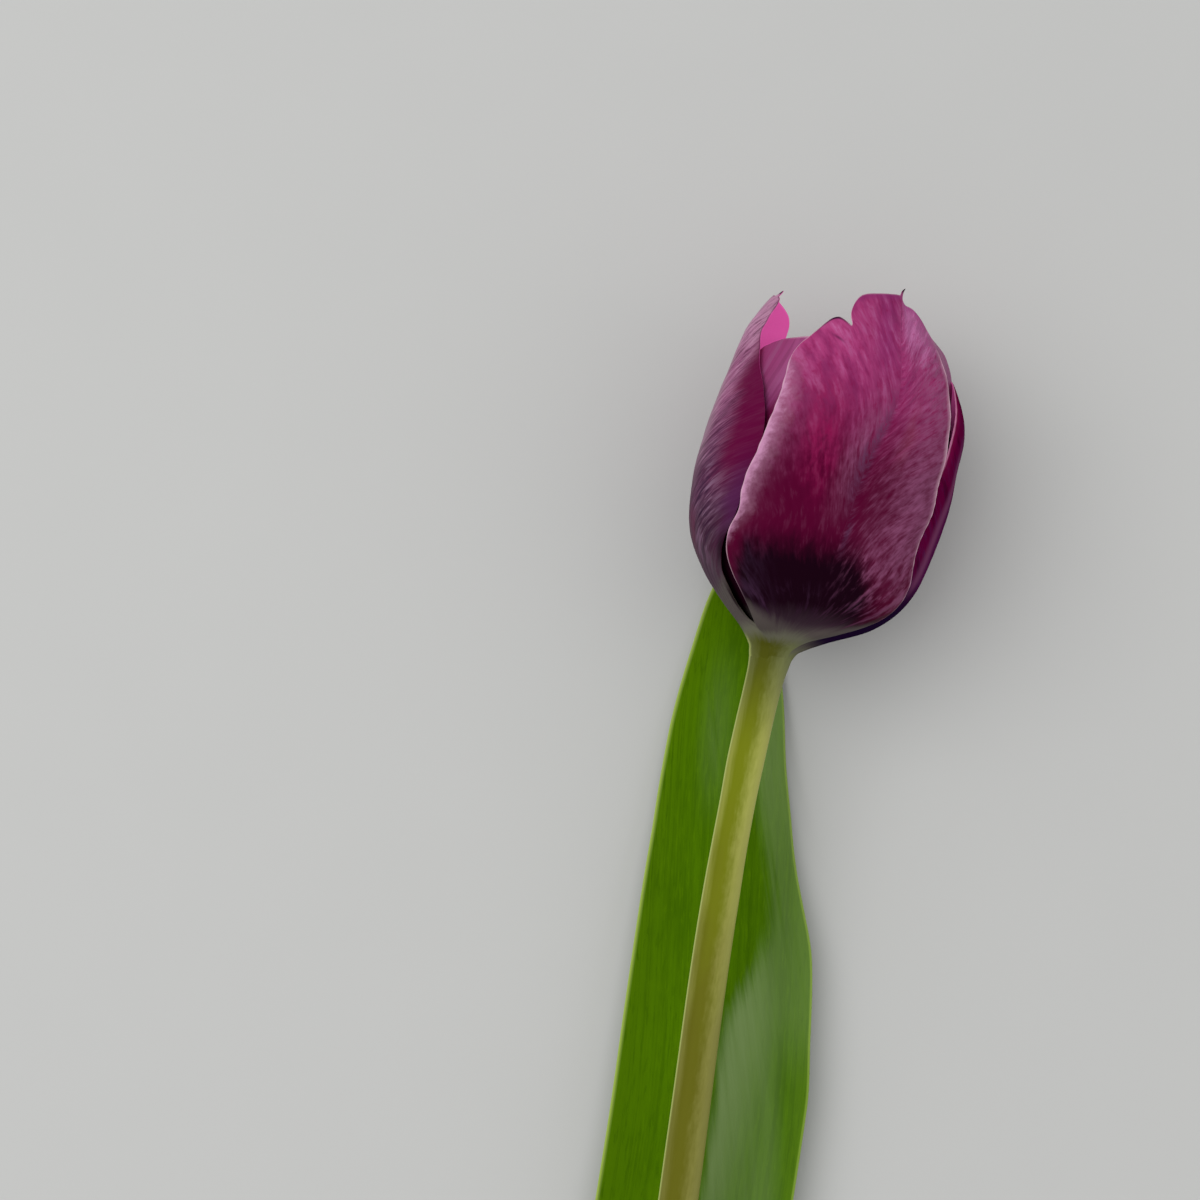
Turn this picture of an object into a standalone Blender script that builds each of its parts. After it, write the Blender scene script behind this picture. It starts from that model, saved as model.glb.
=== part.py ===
"""A cut tulip lying on its side: bloom, stem and one leaf, in metres, +Z up.

The stem runs along +Y with the bloom at its +Y end. The bloom's underside, the leaf
and the stem's cut end touch the surface at z = 0, and the origin is on that surface
under the middle of the whole flower.
"""
import bmesh
import bpy
from math import asin, cos, exp, pi, radians, sin, sqrt
from mathutils import Vector

MM = 0.001

# Where the petals meet the stem.
JUNCTION = Vector((-3.4, 75.7, 21.29))

# Stem, along its middle line from the junction down to the cut end. It climbs so that its
# cut end rests on the surface, and the bloom climbs with it.
STEM_LENGTH = 214.0
STEM_RADIUS = 3.25
STEM_END_RADIUS = 3.6
STEM_SIDES = 20
SHAFT_START = 8.5
SHAFT_STEPS = 30
SHAFT_GROWTH = 90.0
CLIMB = asin((JUNCTION.z - STEM_END_RADIUS) / STEM_LENGTH)
# Receptacle, from its crown down to the shaft: distance below the junction, radius.
RECEPTACLE = (
    (-1.3, 1.1), (-0.9, 1.8), (-0.4, 2.1), (0.2, 2.5), (0.6, 3.1), (0.9, 3.75),
    (1.3, 4.2), (2.0, 4.25), (3.5, 3.85), (5.5, 3.45), (SHAFT_START, STEM_RADIUS),
)
# Sideways bow of the stem: distance below the junction, offset to the right.
STEM_BOW = (
    (0, 0.1), (6, -0.4), (21, -1.5), (40, -1.95), (58, -1.8), (84, -1.0), (140, 0.6), (216, 2.0),
)

# The bloom's outer shape: height above the junction, radius and sideways shift of its middle.
BLOOM_RADIUS = (
    (-0.3, 4.2), (2.2, 7.5), (5.6, 12.9), (10.7, 17.7), (17.3, 20.9),
    (26.6, 22.5), (35, 22.6), (42, 21.8), (50, 19.4), (58, 15.8), (67, 10.6),
)
BLOOM_SHIFT = (
    (-0.3, 0.2), (2.2, 1.3), (5.6, 3.1), (10.7, 3.4), (17.3, 3.0),
    (26.6, 3.2), (35, 3.8), (42, 4.3), (50, 4.0), (58, 2.9), (67, 1.5),
)
PETAL_BASE = -0.3
PETAL_WALL = 0.8
INNER_LAYER = -2.2

# Each petal: bearings in degrees (0 faces up, 90 right) of its left edge, midrib and
# right edge at heights along the bloom; its tip height; the heights where its left and
# right edges turn into the rim; dips in that rim as (across, depth, width); its layer;
# how far each edge lifts off that layer; and how far its tip leans out, from which height.
PETALS = {
    "outer_petal_front": {
        "left": (
            (0, -15), (2, -22), (4.2, -35), (8, -43), (13.5, -46), (17, -43), (20, -37), (30, -33), (45, -29.5),
        ),
        "middle": ((0, 12), (8, 8), (21, 12), (32, 15), (43, 23), (56, 30), (63, 42)),
        "right": ((0, 28), (3, 33), (6, 51), (10, 59), (14, 56), (19, 51), (27, 53), (50, 53), (60, 48)),
        "tip": 62.9, "shoulders": (46.0, 54.0), "dips": ((-0.56, 4.6, 0.1), (-0.8, 2.6, 0.2)),
        "layer": 0.0, "lift": (1.2, 1.1), "lean": (0.0, 50.0),
    },
    "outer_petal_left": {
        "left": ((0, -135), (8, -152), (30, -160), (60, -156)),
        "middle": ((0, -105), (40, -102), (60, -97)),
        "right": ((0, -75), (3, -61), (6, -57), (13, -53), (20, -42), (32, -35), (42, -40), (60, -45)),
        "tip": 61.3, "shoulders": (40.0, 38.0), "dips": (),
        "layer": 0.0, "lift": (-0.5, -0.5), "lean": (-1.4, 53.0),
    },
    "outer_petal_right": {
        "left": (
            (0, 85), (3, 64), (6, 54), (10, 51), (20, 49), (30, 56), (38, 61), (45, 67), (51, 80), (57, 95),
        ),
        "middle": ((0, 132), (40, 135), (60, 140)),
        "right": ((0, 165), (8, 190), (30, 206), (60, 200)),
        "tip": 60.0, "shoulders": (46.0, 30.0), "dips": (),
        "layer": 0.0, "lift": (-0.3, 1.0), "lean": (0.0, 50.0),
    },
    "inner_petal_left": {
        "left": ((0, -70), (10, -92), (40, -95), (58, -86)),
        "middle": ((0, -42), (30, -40), (54, -17)),
        "right": ((0, -14), (10, 6), (40, 10), (58, 12)),
        "tip": 53.9, "shoulders": (28.0, 34.0), "dips": (),
        "layer": INNER_LAYER, "lift": (0.0, 0.0), "lean": (0.0, 50.0),
    },
    "inner_petal_right": {
        "left": ((0, 47), (10, 26), (40, 22), (58, 30)),
        "middle": ((0, 75), (40, 75), (58, 72)),
        "right": ((0, 103), (10, 124), (40, 124), (58, 116)),
        "tip": 58.5, "shoulders": (36.0, 42.0), "dips": (),
        "layer": INNER_LAYER, "lift": (0.0, 0.0), "lean": (0.6, 46.0),
    },
    "inner_petal_back": {
        "left": ((0, 167), (10, 142), (40, 140), (58, 150)),
        "middle": ((0, 195), (58, 195)),
        "right": ((0, 223), (10, 248), (40, 250), (58, 240)),
        "tip": 58.0, "shoulders": (36.0, 36.0), "dips": (),
        "layer": INNER_LAYER, "lift": (0.0, 0.0), "lean": (0.0, 50.0),
    },
}

# Pistil and stamens: foot and head as sideways place or radius, then height in the bloom,
# and profiles as part of the length, radius.
PISTIL_FOOT = (0.5, 1.8)
PISTIL_TOP = (3.2, 23.5)
PISTIL_PROFILE = (
    (0, 0.7), (0.06, 0.85), (0.25, 1.9), (0.45, 2.55), (0.7, 2.6), (0.84, 2.1),
    (0.9, 2.4), (0.96, 3.6), (1, 3.0),
)
PISTIL_SIDES = 18
PISTIL_LOBES = 0.22
STAMEN_COUNT = 6
STAMEN_SIDES = 8
STAMEN_FOOT = (1.95, 2.15)
STAMEN_HEAD = (6.4, 25.0)
STAMEN_PROFILE = (
    (0, 0.35), (0.4, 0.45), (0.48, 0.35), (0.52, 0.9), (0.62, 1.25), (0.85, 1.15), (1, 0.5),
)

# Leaf, by distance along the flower from the junction (the foot is at the minus end):
# its left and right edges, its midrib, and how high each edge curls off the surface.
# At its foot it is a sheath round the stem, which opens out towards the bloom.
LEAF_THICKNESS = 0.8
LEAF_FOOT = -191.0
LEAF_TIP = 14.0
LEAF_LEFT = (
    (-191, -9.0), (-175, -10.5), (-150, -12.5), (-120, -14.2), (-83, -14.4), (-55, -15.0),
    (-36, -15.4), (-25, -15.4), (-7, -14.4), (2, -13.2), (9, -11.2), (14, -7.2),
)
LEAF_RIGHT = (
    (-191, 9.0), (-175, 11.0), (-150, 15.0), (-120, 19.0), (-78, 19.8), (-56, 17.0),
    (-44, 14.0), (-36, 11.2), (-25, 7.8), (-7, 4.4), (2, 2.0), (9, -1.8), (14, -6.0),
)
LEAF_MIDRIB = ((-191, 0.0), (-120, 1.2), (-80, 1.0), (-40, -3.0), (-10, -6.0), (14, -6.5))
LEAF_CURL_LEFT = ((-191, 6.0), (-150, 6.0), (-100, 4.0), (-50, 3.0), (-10, 1.2), (14, 0.2))
LEAF_CURL_RIGHT = ((-191, 6.0), (-150, 7.0), (-100, 7.5), (-50, 6.5), (-25, 3.5), (0, 1.0), (14, 0.2))
SHEATH_END = -183.0
SHEATH_OPEN = -150.0
SHEATH_GAP = 0.45
SHEATH_REACH = 9.0


def smooth(points, x):
    """Value at x of the smooth curve through the (x, value) points."""
    if x <= points[0][0]:
        return points[0][1]
    if x >= points[-1][0]:
        return points[-1][1]
    i = next(k for k in range(1, len(points)) if x <= points[k][0])

    def slope(k):
        before, after = max(k - 1, 0), min(k + 1, len(points) - 1)
        return (points[after][1] - points[before][1]) / (points[after][0] - points[before][0])

    (x0, y0), (x1, y1) = points[i - 1], points[i]
    span = x1 - x0
    t = (x - x0) / span
    start = y0 * (1 + 2 * t) * (1 - t) ** 2 + slope(i - 1) * span * t * (1 - t) ** 2
    return start + y1 * t * t * (3 - 2 * t) + slope(i) * span * t * t * (t - 1)


def ease(t):
    """0 to 1 with flat ends."""
    t = min(max(t, 0.0), 1.0)
    return t * t * (3 - 2 * t)


def to_world(right, height, up):
    """World place of a point given in the bloom's own directions, in mm from the junction."""
    along = height * cos(CLIMB) - up * sin(CLIMB)
    rise = height * sin(CLIMB) + up * cos(CLIMB)
    return (JUNCTION + Vector((right, along, rise))) * MM


def bloom_point(bearing, height, depth):
    """A point depth mm outside the bloom's shell, at a bearing round it and a height."""
    step = 0.5
    lean = (smooth(BLOOM_RADIUS, height + step) - smooth(BLOOM_RADIUS, height - step)) / (2 * step)
    length = sqrt(1 + lean * lean)
    radius = smooth(BLOOM_RADIUS, height) + depth / length
    shift = smooth(BLOOM_SHIFT, height)
    return to_world(shift + radius * sin(bearing), height - depth * lean / length, radius * cos(bearing))


def rim_height(petal, across):
    """Height of the petal's rim, from its shoulders at the edges to its tip."""
    shoulder = petal["shoulders"][0 if across < 0 else 1]
    height = shoulder + (petal["tip"] - shoulder) * sqrt(max(0.0, 1 - abs(across) ** 2.3))
    for centre, depth, width in petal["dips"]:
        height -= depth * exp(-((across - centre) / width) ** 2)
    return height


def petal_point(petal, across, along):
    """A point of the petal's middle surface: across -1 to 1, along 0 at the base to 1 at the rim."""
    height = PETAL_BASE + (rim_height(petal, across) - PETAL_BASE) * along
    middle = smooth(petal["middle"], height)
    edge = smooth(petal["left" if across < 0 else "right"], height)
    bearing = middle + (edge - middle) * abs(across)
    lift = petal["lift"][0 if across < 0 else 1] * ease((abs(across) - 0.25) / 0.6) * ease(height / 4)
    amount, start = petal["lean"]
    lean = amount * ease((height - start) / (petal["tip"] - start))
    return bloom_point(radians(bearing), height, petal["layer"] + lift + lean)


def material(name, colour, roughness):
    """A Principled material in one colour."""
    result = bpy.data.materials.new(name)
    result.use_nodes = True
    shader = result.node_tree.nodes["Principled BSDF"]
    shader.inputs["Base Color"].default_value = (*colour, 1)
    shader.inputs["Roughness"].default_value = roughness
    shader.inputs["Metallic"].default_value = 0.0
    return result


def add_object(name, mesh, surface):
    """Put a mesh in the scene under its name, smooth shaded, with its material."""
    mesh.shade_smooth()
    mesh.materials.append(surface)
    result = bpy.data.objects.new(name, mesh)
    bpy.context.scene.collection.objects.link(result)
    return result


def sheet(name, columns, rows, place, surface):
    """A grid of columns by rows whose corners place(across, along) puts in space."""
    shape = bmesh.new()
    bmesh.ops.create_grid(shape, x_segments=columns, y_segments=rows, size=1)
    for corner in shape.verts:
        corner.co = place(corner.co.x, (corner.co.y + 1) / 2)
    mesh = bpy.data.meshes.new(name)
    shape.to_mesh(mesh)
    shape.free()
    return add_object(name, mesh, surface)


def thicken(target, thickness, offset):
    """Give a sheet its wall."""
    wall = target.modifiers.new("wall", "SOLIDIFY")
    wall.thickness = thickness * MM
    wall.offset = offset


def loft(name, rings, surface):
    """A closed solid through rings of points, each ring running the same way round."""
    shape = bmesh.new()
    loops = [[shape.verts.new(point) for point in ring] for ring in rings]
    count = len(loops[0])
    for lower, upper in zip(loops, loops[1:]):
        for i in range(count):
            j = (i + 1) % count
            shape.faces.new((lower[i], lower[j], upper[j], upper[i]))
    shape.faces.new(loops[0][::-1])
    shape.faces.new(loops[-1])
    bmesh.ops.recalc_face_normals(shape, faces=shape.faces)
    mesh = bpy.data.meshes.new(name)
    shape.to_mesh(mesh)
    shape.free()
    return add_object(name, mesh, surface)


def petal(name, surface):
    """One petal as a curved sheet with a wall, its grid closer towards the edges and the base."""
    def place(across, along):
        spread = sin(across * pi / 2) * 0.6 + across * 0.4
        return petal_point(PETALS[name], spread, along ** 1.15)

    thicken(sheet(name, 12, 16, place, surface), PETAL_WALL, 0)


def stem_middle(below):
    """Middle of the stem at a distance below the junction: right, along and up from it, in mm."""
    return Vector((smooth(STEM_BOW, below), -below * cos(CLIMB), -below * sin(CLIMB)))


def stem_ring(below, radius, sides):
    """Ring of points round the stem's middle line."""
    middle = stem_middle(below)
    points = []
    for i in range(sides):
        turn = 2 * pi * i / sides
        up = radius * cos(turn)
        offset = Vector((radius * sin(turn), -up * sin(CLIMB), up * cos(CLIMB)))
        points.append((JUNCTION + middle + offset) * MM)
    return points


def stem(surface):
    """Stem with the flared receptacle that carries the bloom."""
    rings = [stem_ring(below, radius, STEM_SIDES) for below, radius in RECEPTACLE]
    for i in range(1, SHAFT_STEPS + 1):
        below = SHAFT_START + (STEM_LENGTH - SHAFT_START) * i / SHAFT_STEPS
        grown = (STEM_END_RADIUS - STEM_RADIUS) * ease(below / SHAFT_GROWTH)
        rings.append(stem_ring(below, STEM_RADIUS + grown, STEM_SIDES))
    loft("stem", rings, surface)


def leaf_point(across, along):
    """A point of the leaf's underside: across -1 to 1, along 0 at the foot to 1 at the tip."""
    run = LEAF_FOOT + (LEAF_TIP - LEAF_FOOT) * along
    midrib = smooth(LEAF_MIDRIB, run)
    edge = smooth(LEAF_LEFT if across < 0 else LEAF_RIGHT, run)
    reach = edge - midrib
    curl = smooth(LEAF_CURL_LEFT if across < 0 else LEAF_CURL_RIGHT, run)
    open_leaf = Vector((midrib + reach * abs(across), run, -JUNCTION.z + curl * abs(across) ** 3))
    middle = stem_middle(-run / cos(CLIMB))
    hoop = STEM_END_RADIUS + SHEATH_GAP + LEAF_THICKNESS
    turn = across * SHEATH_REACH / hoop
    sheath = middle + Vector((hoop * sin(turn), 0, -hoop * cos(turn)))
    opening = ease((run - SHEATH_END) / (SHEATH_OPEN - SHEATH_END))
    return (JUNCTION + sheath.lerp(open_leaf, opening)) * MM


def leaf(surface):
    """The leaf: it clasps the stem at its foot and lies open on the surface."""
    thicken(sheet("leaf", 10, 44, leaf_point, surface), LEAF_THICKNESS, 1)


def rod_rings(foot, head, profile, sides, lobes=0.0):
    """Rings along a line from foot to head, both (right, height, up), with a radius profile."""
    foot, head = Vector(foot), Vector(head)
    line = head - foot
    side = line.cross(Vector((0, 0, 1))).normalized()
    front = side.cross(line).normalized()
    rings = []
    for part, radius in profile:
        middle = foot + line * part
        ring = []
        for i in range(sides):
            turn = 2 * pi * i / sides
            reach = radius * (1 + lobes * part * cos(3 * turn))
            ring.append(to_world(*(middle + (side * cos(turn) + front * sin(turn)) * reach)))
        rings.append(ring)
    return rings


def pistil(surface):
    """Ovary with a three-lobed stigma."""
    foot = (PISTIL_FOOT[0], PISTIL_FOOT[1], 0)
    head = (PISTIL_TOP[0], PISTIL_TOP[1], 0)
    loft("pistil", rod_rings(foot, head, PISTIL_PROFILE, PISTIL_SIDES, PISTIL_LOBES), surface)


def stamen(number, surface):
    """A filament with its anther, leaning outwards beside the pistil."""
    turn = 2 * pi * (number - 0.5) / STAMEN_COUNT
    lean = (PISTIL_TOP[0] - PISTIL_FOOT[0]) / (PISTIL_TOP[1] - PISTIL_FOOT[1])

    def at(radius, height):
        centre = PISTIL_FOOT[0] + lean * (height - PISTIL_FOOT[1])
        return (centre + radius * sin(turn), height, radius * cos(turn))

    rings = rod_rings(at(*STAMEN_FOOT), at(*STAMEN_HEAD), STAMEN_PROFILE, STAMEN_SIDES)
    loft(f"stamen_{number}", rings, surface)


def main():
    for item in list(bpy.data.objects):
        bpy.data.objects.remove(item, do_unlink=True)
    outer_skin = material("outer_petal_skin", (0.20, 0.025, 0.09), 0.45)
    inner_skin = material("inner_petal_skin", (0.28, 0.04, 0.16), 0.45)
    stem_skin = material("stem_skin", (0.19, 0.21, 0.03), 0.5)
    leaf_skin = material("leaf_skin", (0.06, 0.15, 0.01), 0.5)
    pistil_skin = material("pistil_skin", (0.45, 0.5, 0.2), 0.5)
    stamen_skin = material("stamen_skin", (0.04, 0.02, 0.05), 0.8)
    stem(stem_skin)
    leaf(leaf_skin)
    for name in PETALS:
        petal(name, outer_skin if name.startswith("outer") else inner_skin)
    pistil(pistil_skin)
    for number in range(1, STAMEN_COUNT + 1):
        stamen(number, stamen_skin)


if __name__ == "__main__":
    main()
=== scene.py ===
"""Looks of a cut tulip that lies on its side: six petals, stem, leaf, pistil and stamens."""
from math import asin, cos, exp, log, pi, radians, sin, sqrt

import bpy
from bpy.props import FloatProperty, FloatVectorProperty, PointerProperty
from mathutils import Matrix, Vector


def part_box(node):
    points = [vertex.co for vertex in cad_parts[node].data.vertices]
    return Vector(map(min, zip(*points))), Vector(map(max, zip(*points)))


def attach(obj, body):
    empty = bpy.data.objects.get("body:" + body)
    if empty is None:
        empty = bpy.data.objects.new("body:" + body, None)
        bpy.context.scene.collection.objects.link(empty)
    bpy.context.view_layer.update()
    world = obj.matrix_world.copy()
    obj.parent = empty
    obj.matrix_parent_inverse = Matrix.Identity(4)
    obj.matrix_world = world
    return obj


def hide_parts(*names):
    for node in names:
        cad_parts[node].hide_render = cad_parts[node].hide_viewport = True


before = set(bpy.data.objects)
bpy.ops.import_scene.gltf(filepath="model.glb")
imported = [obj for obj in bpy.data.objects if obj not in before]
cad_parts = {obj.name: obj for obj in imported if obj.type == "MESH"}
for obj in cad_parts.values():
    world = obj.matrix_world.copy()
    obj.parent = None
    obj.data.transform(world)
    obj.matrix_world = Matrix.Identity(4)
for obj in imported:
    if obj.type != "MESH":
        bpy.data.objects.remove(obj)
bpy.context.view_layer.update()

bl_info = {
    "name": "Tulip flower",
    "version": (1, 0, 0),
    "blender": (4, 5, 0),
    "location": "3D View > Sidebar > Tulip",
    "description": "Petals, stem, leaf, pistil and stamens of a cut tulip, with a stage",
    "category": "Add Mesh",
}

MM = 0.001

# Sizes up here are in millimetres unless a comment says otherwise, the settings below are
# in metres, and each table of pairs is read as a smooth curve through its points.

# The junction is where the petals meet the stem. The stem's own box gives its place: the
# crown of the receptacle stands 1.39 mm past it, the stem's widest bow and the
# receptacle's top lie 5.39 mm to its left and 4.08 mm above it.
STEM_LOW, STEM_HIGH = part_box("stem")
JUNCTION = Vector((STEM_LOW.x / MM + 5.39, STEM_HIGH.y / MM - 1.39, STEM_HIGH.z / MM - 4.08))
STEM_LENGTH = 214.0
STEM_END_RADIUS = 3.6
CLIMB = asin((JUNCTION.z - STEM_END_RADIUS) / STEM_LENGTH)
# How far the stem's middle swings to the right, by distance below the junction.
STEM_BOW = (
    (0, -0.15), (2, -0.38), (4, -0.54), (7, -0.85), (10, -1.08), (14, -1.35), (21, -1.73),
    (28, -1.93), (40, -2.13), (58, -2.0), (84, -1.22), (140, 0.45), (216, 2.0),
)
# Radius of the receptacle and the stem, by distance below the junction.
RECEPTACLE = (
    (-1.3, 0.0), (-1.25, 0.7), (-0.9, 1.8), (-0.4, 2.1), (0.2, 2.6), (0.6, 3.2), (0.9, 3.7),
    (1.3, 3.9), (1.8, 3.84), (2.3, 3.76), (2.8, 3.68), (3.4, 3.6), (4.4, 3.48), (5.6, 3.38),
    (8.5, 3.28), (14, 3.26), (21, 3.25), (28, 3.13), (36, 3.15), (46, 3.27), (74, 3.33), (90, 3.42),
    (150, 3.55), (STEM_LENGTH - 0.4, STEM_END_RADIUS), (STEM_LENGTH, STEM_END_RADIUS - 0.35),
)

# The bloom's outer shape: height above the junction, radius and sideways shift of its middle.
BLOOM_RADIUS = (
    (-5.5, 3.0), (-4.2, 3.2), (-3.5, 3.3), (-2.0, 3.5), (-1.2, 3.65), (-0.3, 4.15), (2.2, 7.5),
    (5.6, 12.9), (10.7, 17.7), (17.3, 20.9), (26.6, 22.5), (35, 22.6), (42, 21.8), (50, 19.4),
    (58, 15.8), (67, 10.6),
)
BLOOM_SHIFT = (
    (-6, -0.75), (-3, -0.48), (-2, -0.38), (-1, -0.2), (-0.3, 0.02), (2.2, 1.3), (5.6, 3.1),
    (10.7, 3.4), (17.3, 3.0), (26.6, 3.2), (35, 3.8), (42, 4.3), (50, 4.0), (58, 2.9), (67, 1.5),
)
# Height of a petal's foot, the solid model's wall, and how far the inner petals lie inside.
PETAL_BASE = -4.2
CAD_WALL = 0.8
INNER_LAYER = -2.2
# A petal that leans nowhere, one whose columns are spread evenly, and a petal's usual half
# width.
FLAT = ((0, 0), (60, 0))
EVEN = ((-1, -1), (1, 1))
HALF_WIDTH = 19.0

# Each petal: bearings in degrees (0 faces up, 90 right) of its left edge, midrib and right
# edge by height; its rim's height by place across it (-1 left edge, 0 midrib, 1 right edge);
# its layer, how far its foot stands off it and how far its left and right edges lift off it;
# how far it leans out by height; the spike at its tip as (across, height, width, hook in
# degrees); grid columns and rows, and where across it the columns lie; and the look of its
# skin. The inner petals share a few of these.
INNER_PETAL = {
    "columns": 58, "rows": 80, "look": "inner_right", "foot": 0.0, "spread": EVEN,
    "layer": INNER_LAYER, "lift": (0.0, 0.0), "lean": FLAT, "spike": (0.0, 0.8, 0.05, 0.0),
}
PETALS = {
    "outer_petal_front_skin": {
        "columns": 94, "rows": 112, "look": "front", "foot": 0.55,
        "left": (
            (-4.5, -30), (-1, -22), (0, -21.5), (0.6, -24), (1.2, -28.4), (1.9, -32.4),
            (2.5, -35.2), (3, -37), (3.7, -38.8), (5.1, -40.4), (7, -42), (8.4, -43.4), (10, -45),
            (12.2, -46), (14.3, -45.4), (16.7, -43), (18.7, -39.6), (20.5, -36.9), (23.6, -36.4),
            (26.4, -35.3), (30, -32.6), (34.2, -31.2), (38.1, -30), (41.3, -29.4), (44.7, -29.4),
            (62, -29.4),
        ),
        "middle": ((-4.5, 12), (8, 8), (21, 12), (32, 15), (43, 23), (56, 30), (63, 42)),
        "right": (
            (-4.5, 50), (0, 42), (2, 38), (4.2, 43), (5.8, 50.7), (8.1, 58.4), (11, 59),
            (13.7, 56.6), (17, 52), (20.7, 50.6), (25.6, 52.7), (30, 52), (35.5, 52.5),
            (42.3, 52.2), (49.7, 53.2), (60, 48),
        ),
        "rim": (
            (-1, 46), (-0.976, 48.1), (-0.93, 49.8), (-0.88, 50.9), (-0.83, 52.1), (-0.78, 53.3),
            (-0.72, 54.6), (-0.68, 55.2), (-0.64, 55.4), (-0.58, 55.1), (-0.517, 54.4),
            (-0.509, 54.8), (-0.5, 56.2), (-0.49, 57.7), (-0.475, 59.1), (-0.43, 60.7),
            (-0.3, 61.8), (-0.13, 62.5), (0, 62.8), (0.12, 62.2), (0.3, 61.2), (0.5, 60.6),
            (0.68, 59.8), (0.87, 57.8), (0.967, 55.7), (1, 52),
        ),
        "spread": ((-1, -1), (-0.6, -0.55), (-0.36, -0.46), (0, 0), (1, 1)),
        "layer": 0.0, "lift": (1.2, 1.1), "lean": FLAT, "spike": (0.07, 2.6, 0.035, 18.0),
    },
    "outer_petal_left_skin": {
        "columns": 76, "rows": 106, "look": "left", "foot": 0.4,
        "left": (
            (-4.5, -150), (0, -145), (8, -152), (30, -158), (44, -150), (53, -141), (57, -143),
            (62, -146),
        ),
        "middle": ((-4.5, -90), (8, -102), (40, -101), (52, -94), (61, -88)),
        "right": (
            (-4.5, -5), (-0.5, -12), (1.2, -20), (2, -32), (2.5, -48), (2.9, -57.2), (3.7, -62),
            (4.5, -64.4), (6, -65.2), (8, -63.6), (10.6, -61), (13.5, -55), (20, -42), (32, -35),
            (36, -36.4), (41.7, -42.5), (45.6, -49.4), (47.5, -52.6), (50.5, -57), (53.5, -60),
            (58, -59.8), (62, -62),
        ),
        "rim": (
            (-1, 56.4), (-0.96, 58.4), (-0.9, 59.6), (-0.8, 60.6), (-0.6, 61.5), (-0.3, 62),
            (0, 61.8), (0.3, 61.3), (0.7, 60.9), (0.9, 60.2), (1, 58.8),
        ),
        "spread": EVEN, "layer": 0.0, "lift": (-0.5, -0.5), "spike": (0.6, 1.3, 0.06, 4.0),
        "lean": (
            (-3, 0.15), (-0.5, 0.15), (2, -0.15), (5, -0.3), (18, -0.3), (27, -0.6), (35, -0.8),
            (43, -0.75), (47, -0.65), (50, -0.45), (54, -0.3), (56, -0.55), (58, -0.85), (60, -1.2),
            (62, -1.7),
        ),
    },
    "outer_petal_right_skin": {
        "columns": 72, "rows": 98, "look": "right", "foot": 0.5,
        "left": (
            (-4.5, 20), (0, 24), (3, 36), (6, 42), (10, 46), (20, 47), (29, 53), (31.5, 55),
            (35, 57.6), (38.7, 59.3), (42.8, 62), (46.4, 64.5), (48.2, 66.3), (49.6, 68.7),
            (50.8, 76), (51.6, 88), (57, 102),
        ),
        "middle": ((-4.5, 110), (8, 128), (40, 135), (60, 140)),
        "right": ((-4.5, 220), (0, 200), (8, 195), (30, 206), (60, 200)),
        "rim": (
            (-1, 46), (-0.9, 51.5), (-0.75, 55), (-0.5, 58.2), (-0.2, 59.8), (0, 60.2),
            (0.25, 59.2), (0.5, 56), (0.75, 50), (0.9, 42.5), (1, 32),
        ),
        "spread": EVEN, "layer": 0.0, "lift": (-0.3, 0.75), "spike": (0.0, 1.2, 0.035, 5.0),
        "lean": ((34, 0), (39, 0.3), (44, 0.5), (48, 0.4), (52, 0.1)),
    },
    "inner_petal_left_skin": {
        **INNER_PETAL, "look": "inner_left", "spike": (0.0, 0.4, 0.05, 0.0),
        "left": ((0, -70), (10, -92), (40, -95), (58, -86)),
        "middle": ((0, -42), (30, -40), (54, -17)),
        "right": ((0, -14), (10, 6), (40, 10), (58, 12)),
        "rim": (
            (-1, 28), (-0.93, 38), (-0.8, 45.5), (-0.62, 50), (-0.45, 51.6), (-0.3, 52.6),
            (0, 53.6), (0.3, 53.2), (0.55, 51), (0.8, 45.5), (0.93, 39.5), (1, 33),
        ),
    },
    "inner_petal_right_skin": {
        **INNER_PETAL, "lift": (0.0, 1.0),
        "left": ((0, 47), (10, 26), (40, 22), (58, 30)),
        "middle": ((0, 75), (40, 75), (58, 72)),
        "right": ((0, 103), (10, 124), (40, 124), (58, 116)),
        "rim": (
            (-1, 36), (-0.93, 44.5), (-0.8, 50.5), (-0.5, 56), (-0.25, 57.9), (0, 58.6),
            (0.3, 57.6), (0.6, 54.8), (0.8, 51.4), (0.93, 47), (1, 42),
        ),
        "lean": (
            (42, 0), (47, 0.8), (50, 1.7), (52.5, 2.2), (54.8, 2.4), (56.5, 1.9), (58.5, 1.3),
        ),
    },
    "inner_petal_back_skin": {
        **INNER_PETAL,
        "left": ((0, 167), (10, 142), (40, 140), (58, 150)),
        "middle": ((0, 195), (58, 195)),
        "right": ((0, 223), (10, 248), (40, 250), (58, 240)),
        "rim": (
            (-1, 36), (-0.93, 44.5), (-0.8, 50.5), (-0.5, 55.6), (-0.25, 57.4), (0, 58.1),
            (0.25, 57.4), (0.5, 55.6), (0.8, 50.5), (0.93, 44.5), (1, 36),
        ),
    },
}
# The lobe beside the notch of the front petal bulges over it: where the notch is, how far
# the lobe is pushed in degrees, and from which height.
NOTCH = -0.512
NOTCH_PUSH = -2.8
NOTCH_HEIGHT = 54.5

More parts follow.
